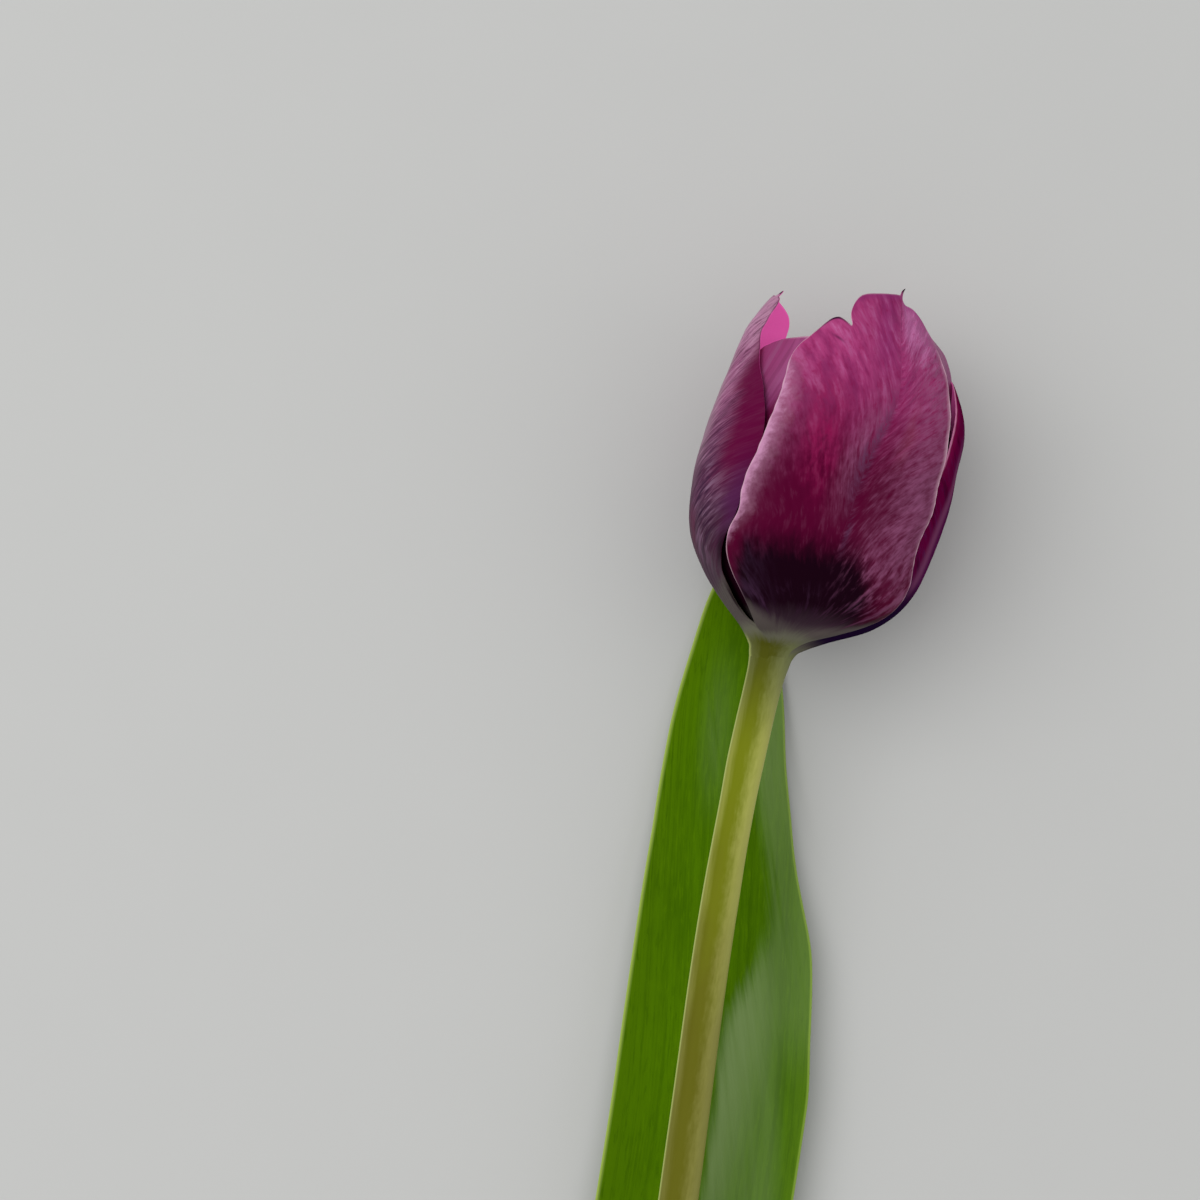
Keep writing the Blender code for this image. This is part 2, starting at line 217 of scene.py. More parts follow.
# Pistil and stamens: foot and head as sideways place or radius, then height in the bloom,
# and profiles as part of the length, radius.
PISTIL_FOOT = (0.5, 1.8)
PISTIL_TOP = (3.2, 23.5)
PISTIL_PROFILE = (
    (0, 0.0), (0.005, 0.7), (0.06, 0.85), (0.25, 1.9), (0.45, 2.5), (0.7, 2.55), (0.84, 2.0),
    (0.89, 2.3), (0.95, 3.4), (0.985, 3.3), (1, 2.4), (0.985, 1.0), (0.975, 0.0),
)
STAMEN_COUNT = 6
STAMEN_FOOT = (1.95, 2.15)
STAMEN_HEAD = (6.4, 25.0)
STAMEN_PROFILE = (
    (0, 0.0), (0.01, 0.3), (0.1, 0.4), (0.4, 0.42), (0.48, 0.3), (0.505, 0.5), (0.53, 0.95),
    (0.62, 1.25), (0.85, 1.15), (0.97, 0.75), (0.995, 0.35), (1, 0.0),
)

# Leaf, by distance along the flower from the junction (the foot is at the minus end): its
# left and right edges, its midrib, and how high each edge curls off the surface. At its
# foot it is a sheath round the stem, which opens out towards the bloom.
LEAF_FOOT = -191.0
LEAF_TIP = 21.0
LEAF_LEFT = (
    (-191, -9.0), (-175, -10.5), (-150, -12.5), (-120, -14.5), (-83, -14.85), (-66, -15.25),
    (-55, -15.45), (-43, -15.6), (-33, -15.55), (-25, -15.6), (-15, -15.4), (-10.6, -15.1),
    (-7, -14.75), (-2.6, -14.2), (1, -13.7), (5, -13.15), (9, -12.5), (14, -11.2), (18, -9.6),
    (21, -7.7),
)
LEAF_RIGHT = (
    (-191, 9.0), (-175, 11.0), (-150, 15.0), (-120, 18.6), (-78, 19.35), (-66, 18.1), (-56, 16.9),
    (-50, 15.75), (-43, 13.35), (-38, 11.6), (-33, 10.15), (-28, 8.95), (-23, 7.7), (-18, 6.5),
    (-7, 4.4), (2, 2.0), (9, -1.0), (14, -3.4), (18, -5.6), (21, -7.3),
)
LEAF_MIDRIB = ((-191, 0.0), (-120, 1.2), (-80, 1.0), (-40, -3.0), (-10, -6.0), (14, -7.0), (21, -7.5))
LEAF_CURL_LEFT = ((-191, 6.0), (-150, 6.0), (-100, 4.0), (-50, 3.0), (-10, 1.2), (21, 0.1))
LEAF_CURL_RIGHT = ((-191, 6.0), (-150, 7.0), (-100, 7.5), (-50, 6.5), (-25, 3.5), (0, 1.0), (21, 0.1))
# Where the sheath stops being closed and where the leaf is quite open, the sheath's radius,
# how far it reaches round the stem on each side, and the share of its wall left at a margin.
SHEATH_END = -183.0
SHEATH_OPEN = -150.0
SHEATH_HOOP = 4.85
SHEATH_REACH = 9.0
LEAF_MARGIN = 0.35

# How round the veins leave a petal's midrib, how they spread from it, and the base of
# their logarithm in a skin.
VEIN_ROUND = 0.006
VEIN_SPREAD = 0.3
VEIN_BASE = 2.718

# Grids, as sides or columns, then rings or rows; the powers that draw the stem's rings and a
# petal's rows together towards the bloom's foot; the share of the stem's rings before its
# cut face; the angle under which the stem's faces are shaded as one; and the distance in
# metres under which corners are joined.
STEM_GRID = (64, 420)
LEAF_GRID = (50, 180)
PISTIL_GRID = (72, 120)
STAMEN_GRID = (40, 90)
RING_CROWDING = 1.6
ROW_CROWDING = 1.1
SHAFT_SHARE = 0.99
SHARP_EDGE = radians(40)
JOIN_DISTANCE = 0.000002

# The two lights' places and sizes in metres, and the width of the camera's sensor.
KEY_PLACE, KEY_SIZE = (-0.55, 0.10, 1.0), 1.1
FILL_PLACE, FILL_SIZE = (0.8, -0.1, 0.8), 0.8
SENSOR_WIDTH = 36.0


class TulipSizes(bpy.types.PropertyGroup):
    petal_wall: FloatProperty(
        name="Petal wall", description="Thickness of a petal away from its margin",
        default=0.0005, unit="LENGTH")
    petal_margin: FloatProperty(
        name="Petal margin", description="Share of the wall that is left at a petal's margin",
        default=0.5, subtype="FACTOR")
    vein_relief: FloatProperty(
        name="Vein relief", description="Height of the ridges along a petal's veins",
        default=0.00005, unit="LENGTH")
    leaf_wall: FloatProperty(
        name="Leaf wall", description="Thickness of the leaf away from its margin",
        default=0.0008, unit="LENGTH")
    leaf_relief: FloatProperty(
        name="Leaf relief", description="Height of the ridges along the leaf",
        default=0.00006, unit="LENGTH")


def colour(name, description, value):
    """A colour that a user can change."""
    return FloatVectorProperty(
        name=name, description=description, default=value, subtype="COLOR", size=3)


class TulipColours(bpy.types.PropertyGroup):
    magenta: colour("Magenta", "Upper part of a petal", (0.305, 0.034, 0.138))
    rose: colour("Rose", "Brighter shoulder of the front petal", (0.400, 0.050, 0.185))
    violet_red: colour("Violet red", "Darker folds high on the front petal", (0.175, 0.014, 0.085))
    # Painted sheen: grey where the left petal turns away.
    pearl_sheen: colour("Pearl", "Grey where the left petal turns away", (0.420, 0.290, 0.355))
    flame: colour("Flame", "Glowing crimson flame", (0.230, 0.0045, 0.060))
    blush: colour("Blush", "Bright threads near a petal's tip", (0.600, 0.190, 0.420))
    rust: colour("Rust", "Warm freckles", (0.220, 0.045, 0.060))
    cerise: colour("Cerise", "Upper part of the left inner petal", (0.205, 0.009, 0.078))
    ink: colour("Ink", "Bluish part of the dark zone", (0.034, 0.014, 0.034))
    silver: colour("Silver", "Silvery mottling low on the left petal", (0.290, 0.170, 0.270))
    # Painted highlight along a thin margin.
    rim_highlight: colour("Pale rim", "Thin pale line along a margin", (0.640, 0.400, 0.500))
    orchid: colour("Orchid", "Pale tip of a petal", (0.430, 0.130, 0.310))
    crimson: colour("Crimson", "Middle of a petal", (0.074, 0.0012, 0.020))
    claret: colour("Claret", "Deep crimson of hidden margins", (0.105, 0.0008, 0.034))
    # Plum low on the petals is the dark blotch, partly deepened with painted shade.
    plum: colour("Plum", "Dark zone low on a petal", (0.0080, 0.0010, 0.0045))
    # On the front petal's veil and the right petal's contour, mauve is painted sheen.
    mauve: colour("Mauve", "Waxy veil over the crimson", (0.235, 0.072, 0.155))
    # Along the front petal's midrib, slate is a painted reflection.
    slate: colour("Slate", "Greyish violet creases", (0.070, 0.026, 0.065))
    # On thin margins, lilac is painted light where the margin catches it.
    lilac: colour("Lilac", "Pale petal margin", (0.600, 0.290, 0.480))
    rim_pink: colour("Rim pink", "Lit margin of a petal", (0.660, 0.250, 0.430))
    dark_rim: colour("Dark rim", "Shaded rim of a curled lobe", (0.035, 0.006, 0.030))
    haze: colour("Haze", "Grey violet low on the left petal", (0.066, 0.038, 0.056))
    wine: colour("Wine", "Middle of the left petal", (0.105, 0.030, 0.078))
    wine_dark: colour("Dark wine", "Dark feathering", (0.055, 0.008, 0.030))
    heather: colour("Heather", "Upper part of the left petal", (0.310, 0.100, 0.210))
    dusk: colour("Dusk", "Pale top of the left petal", (0.500, 0.245, 0.380))
    violet: colour("Violet", "Shaded violet", (0.075, 0.010, 0.065))
    purple: colour("Purple", "Upper part of an inner petal", (0.230, 0.025, 0.140))
    indigo: colour("Indigo", "Near-black violet", (0.010, 0.003, 0.022))
    ash: colour("Ash", "Grey above a petal's foot", (0.080, 0.065, 0.061))
    cream: colour("Cream", "Foot of a petal", (0.125, 0.122, 0.086))
    # Pink inside near the tip is brightened as painted light coming through the petal.
    pink: colour("Pink", "Inside of a petal near its tip", (0.700, 0.105, 0.390))
    spike: colour("Spike", "Point of a petal", (0.018, 0.008, 0.014))
    stem_core: colour("Stem core", "Olive along the stem's middle", (0.150, 0.178, 0.006))
    stem_core_low: colour("Stem core, low", "Brownish olive lower down", (0.112, 0.110, 0.008))
    # The stem's pale side colours, here, lower down and at the top, are painted light.
    stem_pale: colour("Stem side", "Pale sides of the stem", (0.400, 0.410, 0.100))
    stem_pale_low: colour("Stem side, low", "Pale sides lower down", (0.250, 0.240, 0.060))
    stem_top: colour("Stem top", "Dark olive just below the bloom", (0.064, 0.068, 0.006))
    stem_top_pale: colour("Stem top side", "Greyed green beside it", (0.135, 0.150, 0.070))
    # Painted highlight along the stem's left.
    stem_rim_highlight: colour("Stem rim", "Thin pale line along the stem", (0.520, 0.580, 0.190))
    stem_cut: colour("Stem cut", "Pith at the cut end", (0.420, 0.460, 0.200))
    leaf_green: colour("Leaf green", "Body of the leaf", (0.066, 0.160, 0.0006))
    leaf_dark: colour("Leaf dark", "Darker bands along the leaf", (0.044, 0.115, 0.0004))
    leaf_margin: colour("Leaf margin", "Brighter green near the margin", (0.085, 0.190, 0.0008))
    # Waxy bloom on the leaf, with painted sheen in it.
    leaf_wax_and_sheen: colour("Leaf wax", "Waxy bloom on the leaf", (0.180, 0.270, 0.092))
    leaf_foot: colour("Leaf foot", "Pale sheath round the stem", (0.180, 0.240, 0.060))
    leaf_edge: colour("Leaf edge", "Thin bright margin of the leaf", (0.330, 0.450, 0.080))
    pistil_green: colour("Pistil green", "Ovary", (0.380, 0.450, 0.130))
    stigma_cream: colour("Stigma cream", "Lobes of the stigma", (0.620, 0.560, 0.300))
    anther: colour("Anther", "Powdery anther", (0.030, 0.014, 0.040))
    floor: colour("Floor", "Plain pale floor", (0.508, 0.511, 0.502))


class TulipStage(bpy.types.PropertyGroup):
    elevation: FloatProperty(
        name="Elevation", description="Camera's angle above the floor",
        default=radians(80.0), subtype="ANGLE")
    roll: FloatProperty(
        name="Roll", description="Camera's turn about its own line of sight",
        default=radians(9.7), subtype="ANGLE")
    distance: FloatProperty(
        name="Distance", description="From the camera to the middle of its view",
        default=0.5833, unit="LENGTH")
    view_left: FloatProperty(
        name="View left", description="Middle of the view, left of the junction",
        default=0.030625, unit="LENGTH")
    view_up: FloatProperty(
        name="View up", description="Middle of the view, above the junction in the picture",
        default=0.007875, unit="LENGTH")
    lens: FloatProperty(
        name="Lens", description="Focal length in millimetres", default=100.0, unit="CAMERA")
    floor_size: FloatProperty(
        name="Floor size", description="Side of the floor", default=6.0, unit="LENGTH")
    key_power: FloatProperty(
        name="Key power", description="Power of the large light on the left",
        default=6.0, unit="POWER")
    fill_power: FloatProperty(
        name="Fill power", description="Power of the light on the right",
        default=0.8, unit="POWER")
    sky: FloatProperty(
        name="Sky", description="Strength of the even light from all around", default=0.70)


# ---------------------------------------------------------------- curves and places


def smooth(points, x):
    """Value at x of the smooth curve through the (x, value) points."""
    if x <= points[0][0]:
        return points[0][1]
    if x >= points[-1][0]:
        return points[-1][1]
    i = next(k for k in range(1, len(points)) if x <= points[k][0])

    def slope(k):
        before, after = max(k - 1, 0), min(k + 1, len(points) - 1)
        return (points[after][1] - points[before][1]) / (points[after][0] - points[before][0])

    (x0, y0), (x1, y1) = points[i - 1], points[i]
    span = x1 - x0
    t = (x - x0) / span
    start = y0 * (1 + 2 * t) * (1 - t) ** 2 + slope(i - 1) * span * t * (1 - t) ** 2
    return start + y1 * t * t * (3 - 2 * t) + slope(i) * span * t * t * (t - 1)


def ease(t):
    """0 to 1 with flat ends."""
    t = min(max(t, 0.0), 1.0)
    return t * t * (3 - 2 * t)


def bell(x, centre, width):
    """A rounded bump of height 1."""
    return exp(-((x - centre) / width) ** 2)


def to_world(right, height, up):
    """World place of a point given in the bloom's own directions, in mm from the junction."""
    along = height * cos(CLIMB) - up * sin(CLIMB)
    rise = height * sin(CLIMB) + up * cos(CLIMB)
    return (JUNCTION + Vector((right, along, rise))) * MM


def bloom_point(bearing, height, depth):
    """A point depth mm outside the bloom's shell, at a bearing round it and a height."""
    step = 0.5
    lean = (smooth(BLOOM_RADIUS, height + step) - smooth(BLOOM_RADIUS, height - step)) / (2 * step)
    length = sqrt(1 + lean * lean)
    radius = smooth(BLOOM_RADIUS, height) + depth / length
    shift = smooth(BLOOM_SHIFT, height)
    height -= depth * lean / length
    return to_world(shift + radius * sin(bearing), height, radius * cos(bearing))


def vein_line(across, height, bends):
    """The same number all along a vein: veins leave the midrib upwards and bend outwards."""
    linear, square = bends[0 if across < 0 else 1]
    spread = log(sqrt(across * across + VEIN_ROUND) + VEIN_SPREAD)
    return spread - height * (linear + height * square)


def petal_relief(across, height, relief, bends):
    """Groove along the midrib, soft folds beside it and fine ridges along the veins, in mm."""
    body = ease(height / 12) * ease((62 - height) / 10)
    line = vein_line(across, height, bends)
    groove = -0.2 * bell(across, 0.0, 0.1) - 0.3 * bell(across, -0.1, 0.2)
    fold = 0.22 * sin(line * 9 + across * 2) * ease((abs(across) - 0.1) / 0.4)
    veins = sin(line * 52) + 0.6 * sin(line * 83 + 1.3)
    ridge = relief / MM * veins * ease((abs(across) - 0.02) / 0.12)
    return body * (groove + fold * 0.5 + ridge)


def petal_point(form, across, along, relief):
    """Place of a petal's outer face, with its height and the distance to its rim, in mm."""
    rim = smooth(form["rim"], across)
    spike_at, spike_height, spike_width, hook = form["spike"]
    spike = spike_height * bell(across, spike_at, spike_width)
    height = PETAL_BASE + (rim + spike - PETAL_BASE) * along
    middle = smooth(form["middle"], height)
    edge = smooth(form["left" if across < 0 else "right"], height)
    bearing = middle + (edge - middle) * abs(across)
    bearing += hook * max(0.0, (height - rim) / spike_height) ** 2
    if form["look"] == "front" and across > NOTCH:
        bearing += NOTCH_PUSH * ease((height - NOTCH_HEIGHT) / 2.5) * (1 - ease((across - NOTCH) / 0.3))
    lift = form["lift"][0 if across < 0 else 1] * ease((abs(across) - 0.25) / 0.6) * ease(height / 4)
    lean = smooth(form["lean"], height)
    body = ease((height + 1.5) / 3)
    layer = form["layer"] + CAD_WALL / 2
    foot = form["foot"] * ease((height - PETAL_BASE) / 3.2) - 0.05
    depth = foot + (layer - foot) * body + lift + lean
    depth += petal_relief(across, height, relief, LOOKS[form["look"]]["bends"])
    place = bloom_point(radians(bearing), height, depth)
    side_gap = (1 - abs(across)) * abs(radians(edge - middle)) * smooth(BLOOM_RADIUS, height)
    rim_gap = (rim + spike - PETAL_BASE) * (1 - along)
    return place, (across, height, min(side_gap, rim_gap))


def stem_middle(below):
    """Middle of the stem at a distance below the junction: right, along and up from it, in mm."""
    return Vector((smooth(STEM_BOW, below), -below * cos(CLIMB), -below * sin(CLIMB)))


def stem_point(turn, below, radius):
    """A point round the stem's middle line; turn 0 is its top."""
    up = radius * cos(turn)
    offset = Vector((radius * sin(turn), -up * sin(CLIMB), up * cos(CLIMB)))
    return (JUNCTION + stem_middle(below) + offset) * MM


def leaf_point(across, along):
    """A point of the leaf's underside, with its distance along the flower and its margin gap."""
    run = LEAF_FOOT + (LEAF_TIP - LEAF_FOOT) * along
    midrib = smooth(LEAF_MIDRIB, run)
    edge = smooth(LEAF_LEFT if across < 0 else LEAF_RIGHT, run)
    reach = edge - midrib
    curl = smooth(LEAF_CURL_LEFT if across < 0 else LEAF_CURL_RIGHT, run)
    open_leaf = Vector((midrib + reach * abs(across), run, -JUNCTION.z + curl * abs(across) ** 3))
    middle = stem_middle(-run / cos(CLIMB))
    turn = across * SHEATH_REACH / SHEATH_HOOP
    sheath = middle + Vector((SHEATH_HOOP * sin(turn), 0, -SHEATH_HOOP * cos(turn)))
    opening = ease((run - SHEATH_END) / (SHEATH_OPEN - SHEATH_END))
    return (JUNCTION + sheath.lerp(open_leaf, opening)) * MM, (across, run, abs(reach))


# ---------------------------------------------------------------- meshes


def select_only(piece):
    """Make a piece the only one selected, and the active one."""
    bpy.ops.object.select_all(action="DESELECT")
    piece.select_set(True)
    bpy.context.view_layer.objects.active = piece


def add_grid(name, columns, rows):
    """A flat grid from -1 to 1 both ways, to be shaped."""
    bpy.ops.object.select_all(action="DESELECT")
    bpy.ops.mesh.primitive_grid_add(
        x_subdivisions=columns, y_subdivisions=rows, size=2, calc_uvs=True)
    piece = bpy.context.object
    piece.name = name
    piece.data.name = name
    return piece


def edit(piece, *steps):
    """Run edit-mode steps on all of a piece."""
    bpy.context.view_layer.objects.active = piece
    bpy.ops.object.mode_set(mode="EDIT")
    bpy.ops.mesh.select_all(action="SELECT")
    for step in steps:
        step()
    bpy.ops.object.mode_set(mode="OBJECT")


def shape_grid(piece, place):
    """Move each grid corner to place(x, y), and keep what it says of the corner as "growth"."""
    growth = piece.data.attributes.new("growth", "FLOAT_VECTOR", "POINT")
    for corner in piece.data.vertices:
        spot, facts = place(corner.co.x, corner.co.y)
        growth.data[corner.index].vector = facts
        corner.co = spot
    piece.data.update()


def apply_modifiers(piece):
    """Apply all modifiers of a piece, in order."""
    select_only(piece)
    for modifier in list(piece.modifiers):
        bpy.ops.object.modifier_apply(modifier=modifier.name)


def thicken(piece, thickness, offset, margin, body_share):
    """Give a sheet its wall and a round margin: margin is the share of the wall that is left
    where body_share(growth) is 0. Corners of the new second face are kept as "inside"."""
    body = piece.vertex_groups.new(name="body")
    growth = piece.data.attributes["growth"]
    for corner in piece.data.vertices:
        body.add([corner.index], body_share(growth.data[corner.index].vector), "REPLACE")
    wall = piece.modifiers.new("wall", "SOLIDIFY")
    wall.thickness = thickness
    wall.offset = offset
    wall.vertex_group = "body"
    wall.thickness_vertex_group = margin
    first_face = len(piece.data.vertices)
    apply_modifiers(piece)
    inside = piece.data.attributes.new("inside", "FLOAT", "POINT")
    for corner in piece.data.vertices:
        inside.data[corner.index].value = 1.0 if corner.index >= first_face else 0.0
    piece.modifiers.new("soft", "SUBSURF").levels = 1
    apply_modifiers(piece)


def finish_piece(piece, skin, node, smooth_angle=None):
    """Shade a finished piece, give it its skin and tie it to the frame."""
    select_only(piece)
    if smooth_angle is None:
        bpy.ops.object.shade_smooth()
    else:
        bpy.ops.object.shade_smooth_by_angle(angle=smooth_angle)
    piece.vertex_groups.clear()
    piece.data.materials.clear()
    piece.data.materials.append(skin)
    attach(piece, "root")
    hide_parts(node)


def roll_up(name, grid, place):
    """A closed rod from a grid rolled into a tube, whose ends place() draws to a point."""
    piece = add_grid(name, *grid)
    shape_grid(piece, lambda x, y: place((x + 1) * pi, (y + 1) / 2))
    edit(
        piece,
        lambda: bpy.ops.mesh.remove_doubles(threshold=JOIN_DISTANCE),
        lambda: bpy.ops.mesh.normals_make_consistent(inside=False),
    )
    return piece


# ---------------------------------------------------------------- skins


class Wire:
    """A socket that Python sums work on: each operator adds its own Math node."""

    def __init__(self, socket):
        self.socket = socket

    def node(self, kind, settings=None, inputs=None, output=0):
        """Any other node: its settings are set first, then its sockets get values or links."""
        tree = self.socket.id_data
        made = tree.nodes.new(kind)
        for name, value in (settings or {}).items():
            setattr(made, name, value)
        for name, value in (inputs or {}).items():
            if isinstance(value, Wire):
                tree.links.new(value.socket, made.inputs[name])
            else:
                made.inputs[name].default_value = value
        return Wire(made.outputs[output])

    def math(self, operation, first, second=0.0):
        return self.node("ShaderNodeMath", {"operation": operation}, {0: first, 1: second})

    def __add__(self, other):
        return self.math("ADD", self, other)

    def __sub__(self, other):
        return self.math("SUBTRACT", self, other)

    def __mul__(self, other):
        return self.math("MULTIPLY", self, other)

    def __radd__(self, other):
        return self.math("ADD", other, self)

    def __rsub__(self, other):
        return self.math("SUBTRACT", other, self)


def rise(value, low, high):
    """0 below low, 1 above high, with a soft step between; low above high turns it round."""
    return value.node(
        "ShaderNodeMapRange", {"interpolation_type": "SMOOTHSTEP", "clamp": True},
        {"Value": value, "From Min": low, "From Max": high, "To Min": 0.0, "To Max": 1.0})


def near(value, centre, width):
    """1 at centre, fading to 0 a width away on both sides."""
    return rise(value.math("ABSOLUTE", value - centre), width, 0.0)


def mix(factor, first, second):
    """Blend two colours."""
    shades = [shade if isinstance(shade, Wire) else (*shade, 1.0) for shade in (first, second)]
    return factor.node(
        "ShaderNodeMix", {"data_type": "RGBA", "clamp_factor": True},
        {"Factor": factor, 6: shades[0], 7: shades[1]}, 2)


def lay(body, *coats):
    """Lay coats over a body colour, each given as how much of it shows and its tint."""
    for share, tint in coats:
        body = mix(share, body, tint)
    return body


def noise(place, scale=1.0, detail=3.0, roughness=0.6):
    """Soft noise from 0 to 1 at a place: a vector, or three numbers or wires."""
    if isinstance(place, tuple):
        source = next(part for part in place if isinstance(part, Wire))
        place = source.node("ShaderNodeCombineXYZ", {}, dict(enumerate(place)))
    return place.node(
        "ShaderNodeTexNoise", {"noise_dimensions": "3D", "normalize": True},
        {"Vector": place, "Scale": scale, "Detail": detail, "Roughness": roughness})


def start_skin(name, roughness, gloss=0.5, glint=(1.0, 1.0, 1.0)):
    """A new material with its roughness, gloss and the tint of its gloss; returns it, its
    shader and a wire to build from."""
    skin = bpy.data.materials.new(name)
    skin.use_nodes = True
    shader = skin.node_tree.nodes["Principled BSDF"]
    shader.inputs["Roughness"].default_value = roughness
    shader.inputs["Specular IOR Level"].default_value = gloss
    shader.inputs["Specular Tint"].default_value = (*glint, 1.0)
    return skin, shader, Wire(shader.outputs[0])


def growth_of(seed):
    """The piece's own three "growth" numbers, such as across, height and margin gap."""
    vector = seed.node(
        "ShaderNodeAttribute", {"attribute_type": "GEOMETRY", "attribute_name": "growth"}, {}, 1)
    return split(vector)


def split(vector):
    """A vector's three parts."""
    parts = vector.node("ShaderNodeSeparateXYZ", {}, {"Vector": vector}).socket.node
    return tuple(Wire(part) for part in parts.outputs)


def inside_of(seed):
    """1 on the inside of a petal, 0 on its outside."""
    made = seed.node("ShaderNodeAttribute", {"attribute_type": "GEOMETRY", "attribute_name": "inside"})
    return Wire(made.socket.node.outputs["Fac"])


def own_place(seed):
    """Where a spot is in its piece's own space, in metres."""
    return seed.node("ShaderNodeTexCoord", output=3)


def put(wire, shader, socket):
    """Link a wire to one of the shader's sockets."""
    wire.socket.id_data.links.new(wire.socket, shader.inputs[socket])


def put_bump(height, shader, strength, distance):
    """Let a height field bend the shader's normal."""
    normal = height.node(
        "ShaderNodeBump", {}, {"Strength": strength, "Distance": distance, "Height": height})
    put(normal, shader, "Normal")


class PetalMarks:
    """Where a spot lies on a petal, and patterns that follow the petal's veins."""

    def __init__(self, seed, number, bends, stretch):
        self.across, self.height, self.gap = growth_of(seed)
        self.inside = inside_of(seed)
        self.reach = seed.math("ABSOLUTE", self.across)
        self.right = rise(self.across, -0.006, 0.006)
        self.side_gap = (1.0 - self.reach) * HALF_WIDTH
        linear = bends[0][0] + self.right * (bends[1][0] - bends[0][0])
        square = bends[0][1] + self.right * (bends[1][1] - bends[0][1])
        round_reach = seed.math("SQRT", self.across * self.across + VEIN_ROUND)
        leaning = self.height * (linear + self.height * square)
        line = seed.math("LOGARITHM", round_reach + VEIN_SPREAD, VEIN_BASE) - leaning
        along = (self.height + self.reach * HALF_WIDTH) * (1.0 / stretch)
        place = number * 7.0 + self.right * 5.0
        self.streak = noise((line * 7.0, along * 0.09, place), detail=4.0)
        self.fine = noise((line * 28.0, along * 0.28, place + 2.0))
        self.thread = noise((line * 60.0, along * 0.30, place + 3.0), detail=2.0, roughness=0.5)
        self.speckle = noise((self.across * 20.0, self.height * 1.1, place + 1.0))
        self.blotch = noise((line * 10.0, along * 0.26, place + 5.0), roughness=0.55)
        self.cloud = noise((self.across * 2.4, self.height * 0.11, place + 4.0), roughness=0.5)
        self.ragged = (self.streak - 0.5) * 16.0 + (self.fine - 0.5) * 7.0 + (self.blotch - 0.5) * 14.0
        x, along_stem, z = split(own_place(seed))
        self.turn = seed.math("ARCTAN2", x - JUNCTION.x * MM, z - JUNCTION.z * MM)
        self.seed = seed

    def above(self, low, high, ragged=0.4):
        """0 below low, 1 above high, with a border that the veins make ragged."""
        return rise(self.height + self.ragged * ragged, low, high)


# ---------------------------------------------------------------- coats
# Heights and gaps are in mm; across runs from -1 at a petal's left edge to 1 at its right.


def add_foot(marks, tints, body, start, flare, cream):
    """Let a petal fade to ash and cream at its foot and run over into the stem's own green."""
    height = marks.height + (marks.fine - 0.5) * 0.7 + (marks.blotch - 0.5) * 1.4
    start = marks.reach * marks.reach * flare + start
    green = stem_coat(marks.seed, tints, marks.turn, 0.0 - marks.height)
    return lay(
        body,
        (rise(height - start, 0.4, -2.0), tints.ash),
        (rise(height - cream, 0.0, -1.8), tints.cream),
        (rise(height - cream, -1.4, -3.4), green))


def front_flame(marks, tints, tip):
    """Crimson to magenta, with a flame in the middle, a brighter shoulder, folds and a pale tip."""
    across, height, streak, blotch = marks.across, marks.height, marks.streak, marks.blotch
    flame = near(across + height * 0.015, 0.03, 0.27) * near(height, 36.0, 17.0)
    shoulder = marks.above(41.0, 54.0) * rise(across, -0.15, -0.6)
    dusky = near(across, -0.14, 0.2) * marks.above(44.0, 54.0)
    folds = rise(streak * 0.8 + blotch * 0.2, 0.56, 0.36) * rise(height, 34.0, 48.0)
    pale_folds = rise(streak * 0.8 + marks.fine * 0.2, 0.50, 0.66) * rise(height, 30.0, 48.0)
    return lay(
        mix(marks.above(26.0, 51.0, 0.8), tints.crimson, tints.magenta),
        (rise(streak * 0.5 + blotch * 0.5, 0.36, 0.6) * flame * 0.9, tints.flame),
        (shoulder * 0.85, tints.rose),
        (dusky * 0.45, tints.purple),
        (folds * 0.6, tints.violet_red),
        (pale_folds * 0.4, tints.orchid),
        (tip * 0.9, tints.orchid))


def front_veil_and_sheen(marks, tints, body, tip, grain):
    """Waxy veil with painted sheen in stretched patches, threads across the tip, painted reflection in
    slate along the midrib, fine grain.
    """
    across, height, fine, streak = marks.across, marks.height, marks.fine, marks.streak
    deep = mix(rise(height, 26.0, 46.0), tints.crimson, tints.flame)
    # The veil is painted sheen over the waxy surface, strongest on the right half.
    veil = rise(across, -0.02, 0.8) * 0.9 + near(across, -0.13, 0.2) * near(height, 34.0, 18.0) * 0.7
    veil = veil + rise(across, -0.6, -0.95) * near(height, 32.0, 18.0) * 0.5
    bright = rise(streak * 0.6 + fine * 0.4, 0.48, 0.64) * tip
    dark = rise(streak * 0.5 + fine * 0.5, 0.52, 0.38) * tip
    wander = across + (marks.cloud - 0.5) * 0.10
    # Slate lines along the midrib: a painted reflection.
    band = near(wander, -0.02, 0.11) * near(height, 34.0, 16.0) * 0.75
    crease = near(wander, 0.05, 0.06) * near(height, 18.0, 6.0) * 0.75
    point_line = near(wander, 0.03, 0.03) * rise(height, 50.0, 60.0) * 0.6
    pale_grain = rise(grain, 0.50, 0.64) * (rise(across, -0.4, 0.3) * 0.2 + 0.1)
    warm = near(across, 0.38, 0.17) * near(height, 38.0, 9.0) * rise(marks.cloud, 0.35, 0.6)
    return lay(
        body,
        (rise(grain, 0.30, 0.68) * veil * rise(height, 9.0, 17.0), tints.mauve),
        (rise(grain, 0.50, 0.36) * veil * near(height, 22.0, 20.0) * 0.42, deep),
        (bright * 0.45, tints.blush),
        (dark * 0.35, tints.purple),
        ((band + crease + point_line) * rise(grain, 0.38, 0.58), tints.slate),
        (rise(grain, 0.50, 0.36) * 0.38, deep),
        (rise(marks.speckle, 0.56, 0.74) * 0.35, deep),
        (pale_grain, tints.mauve),
        (warm * 0.3, tints.rust),
        (rise(across, 0.35, 0.85) * near(height, 27.0, 16.0) * 0.3, tints.mauve))


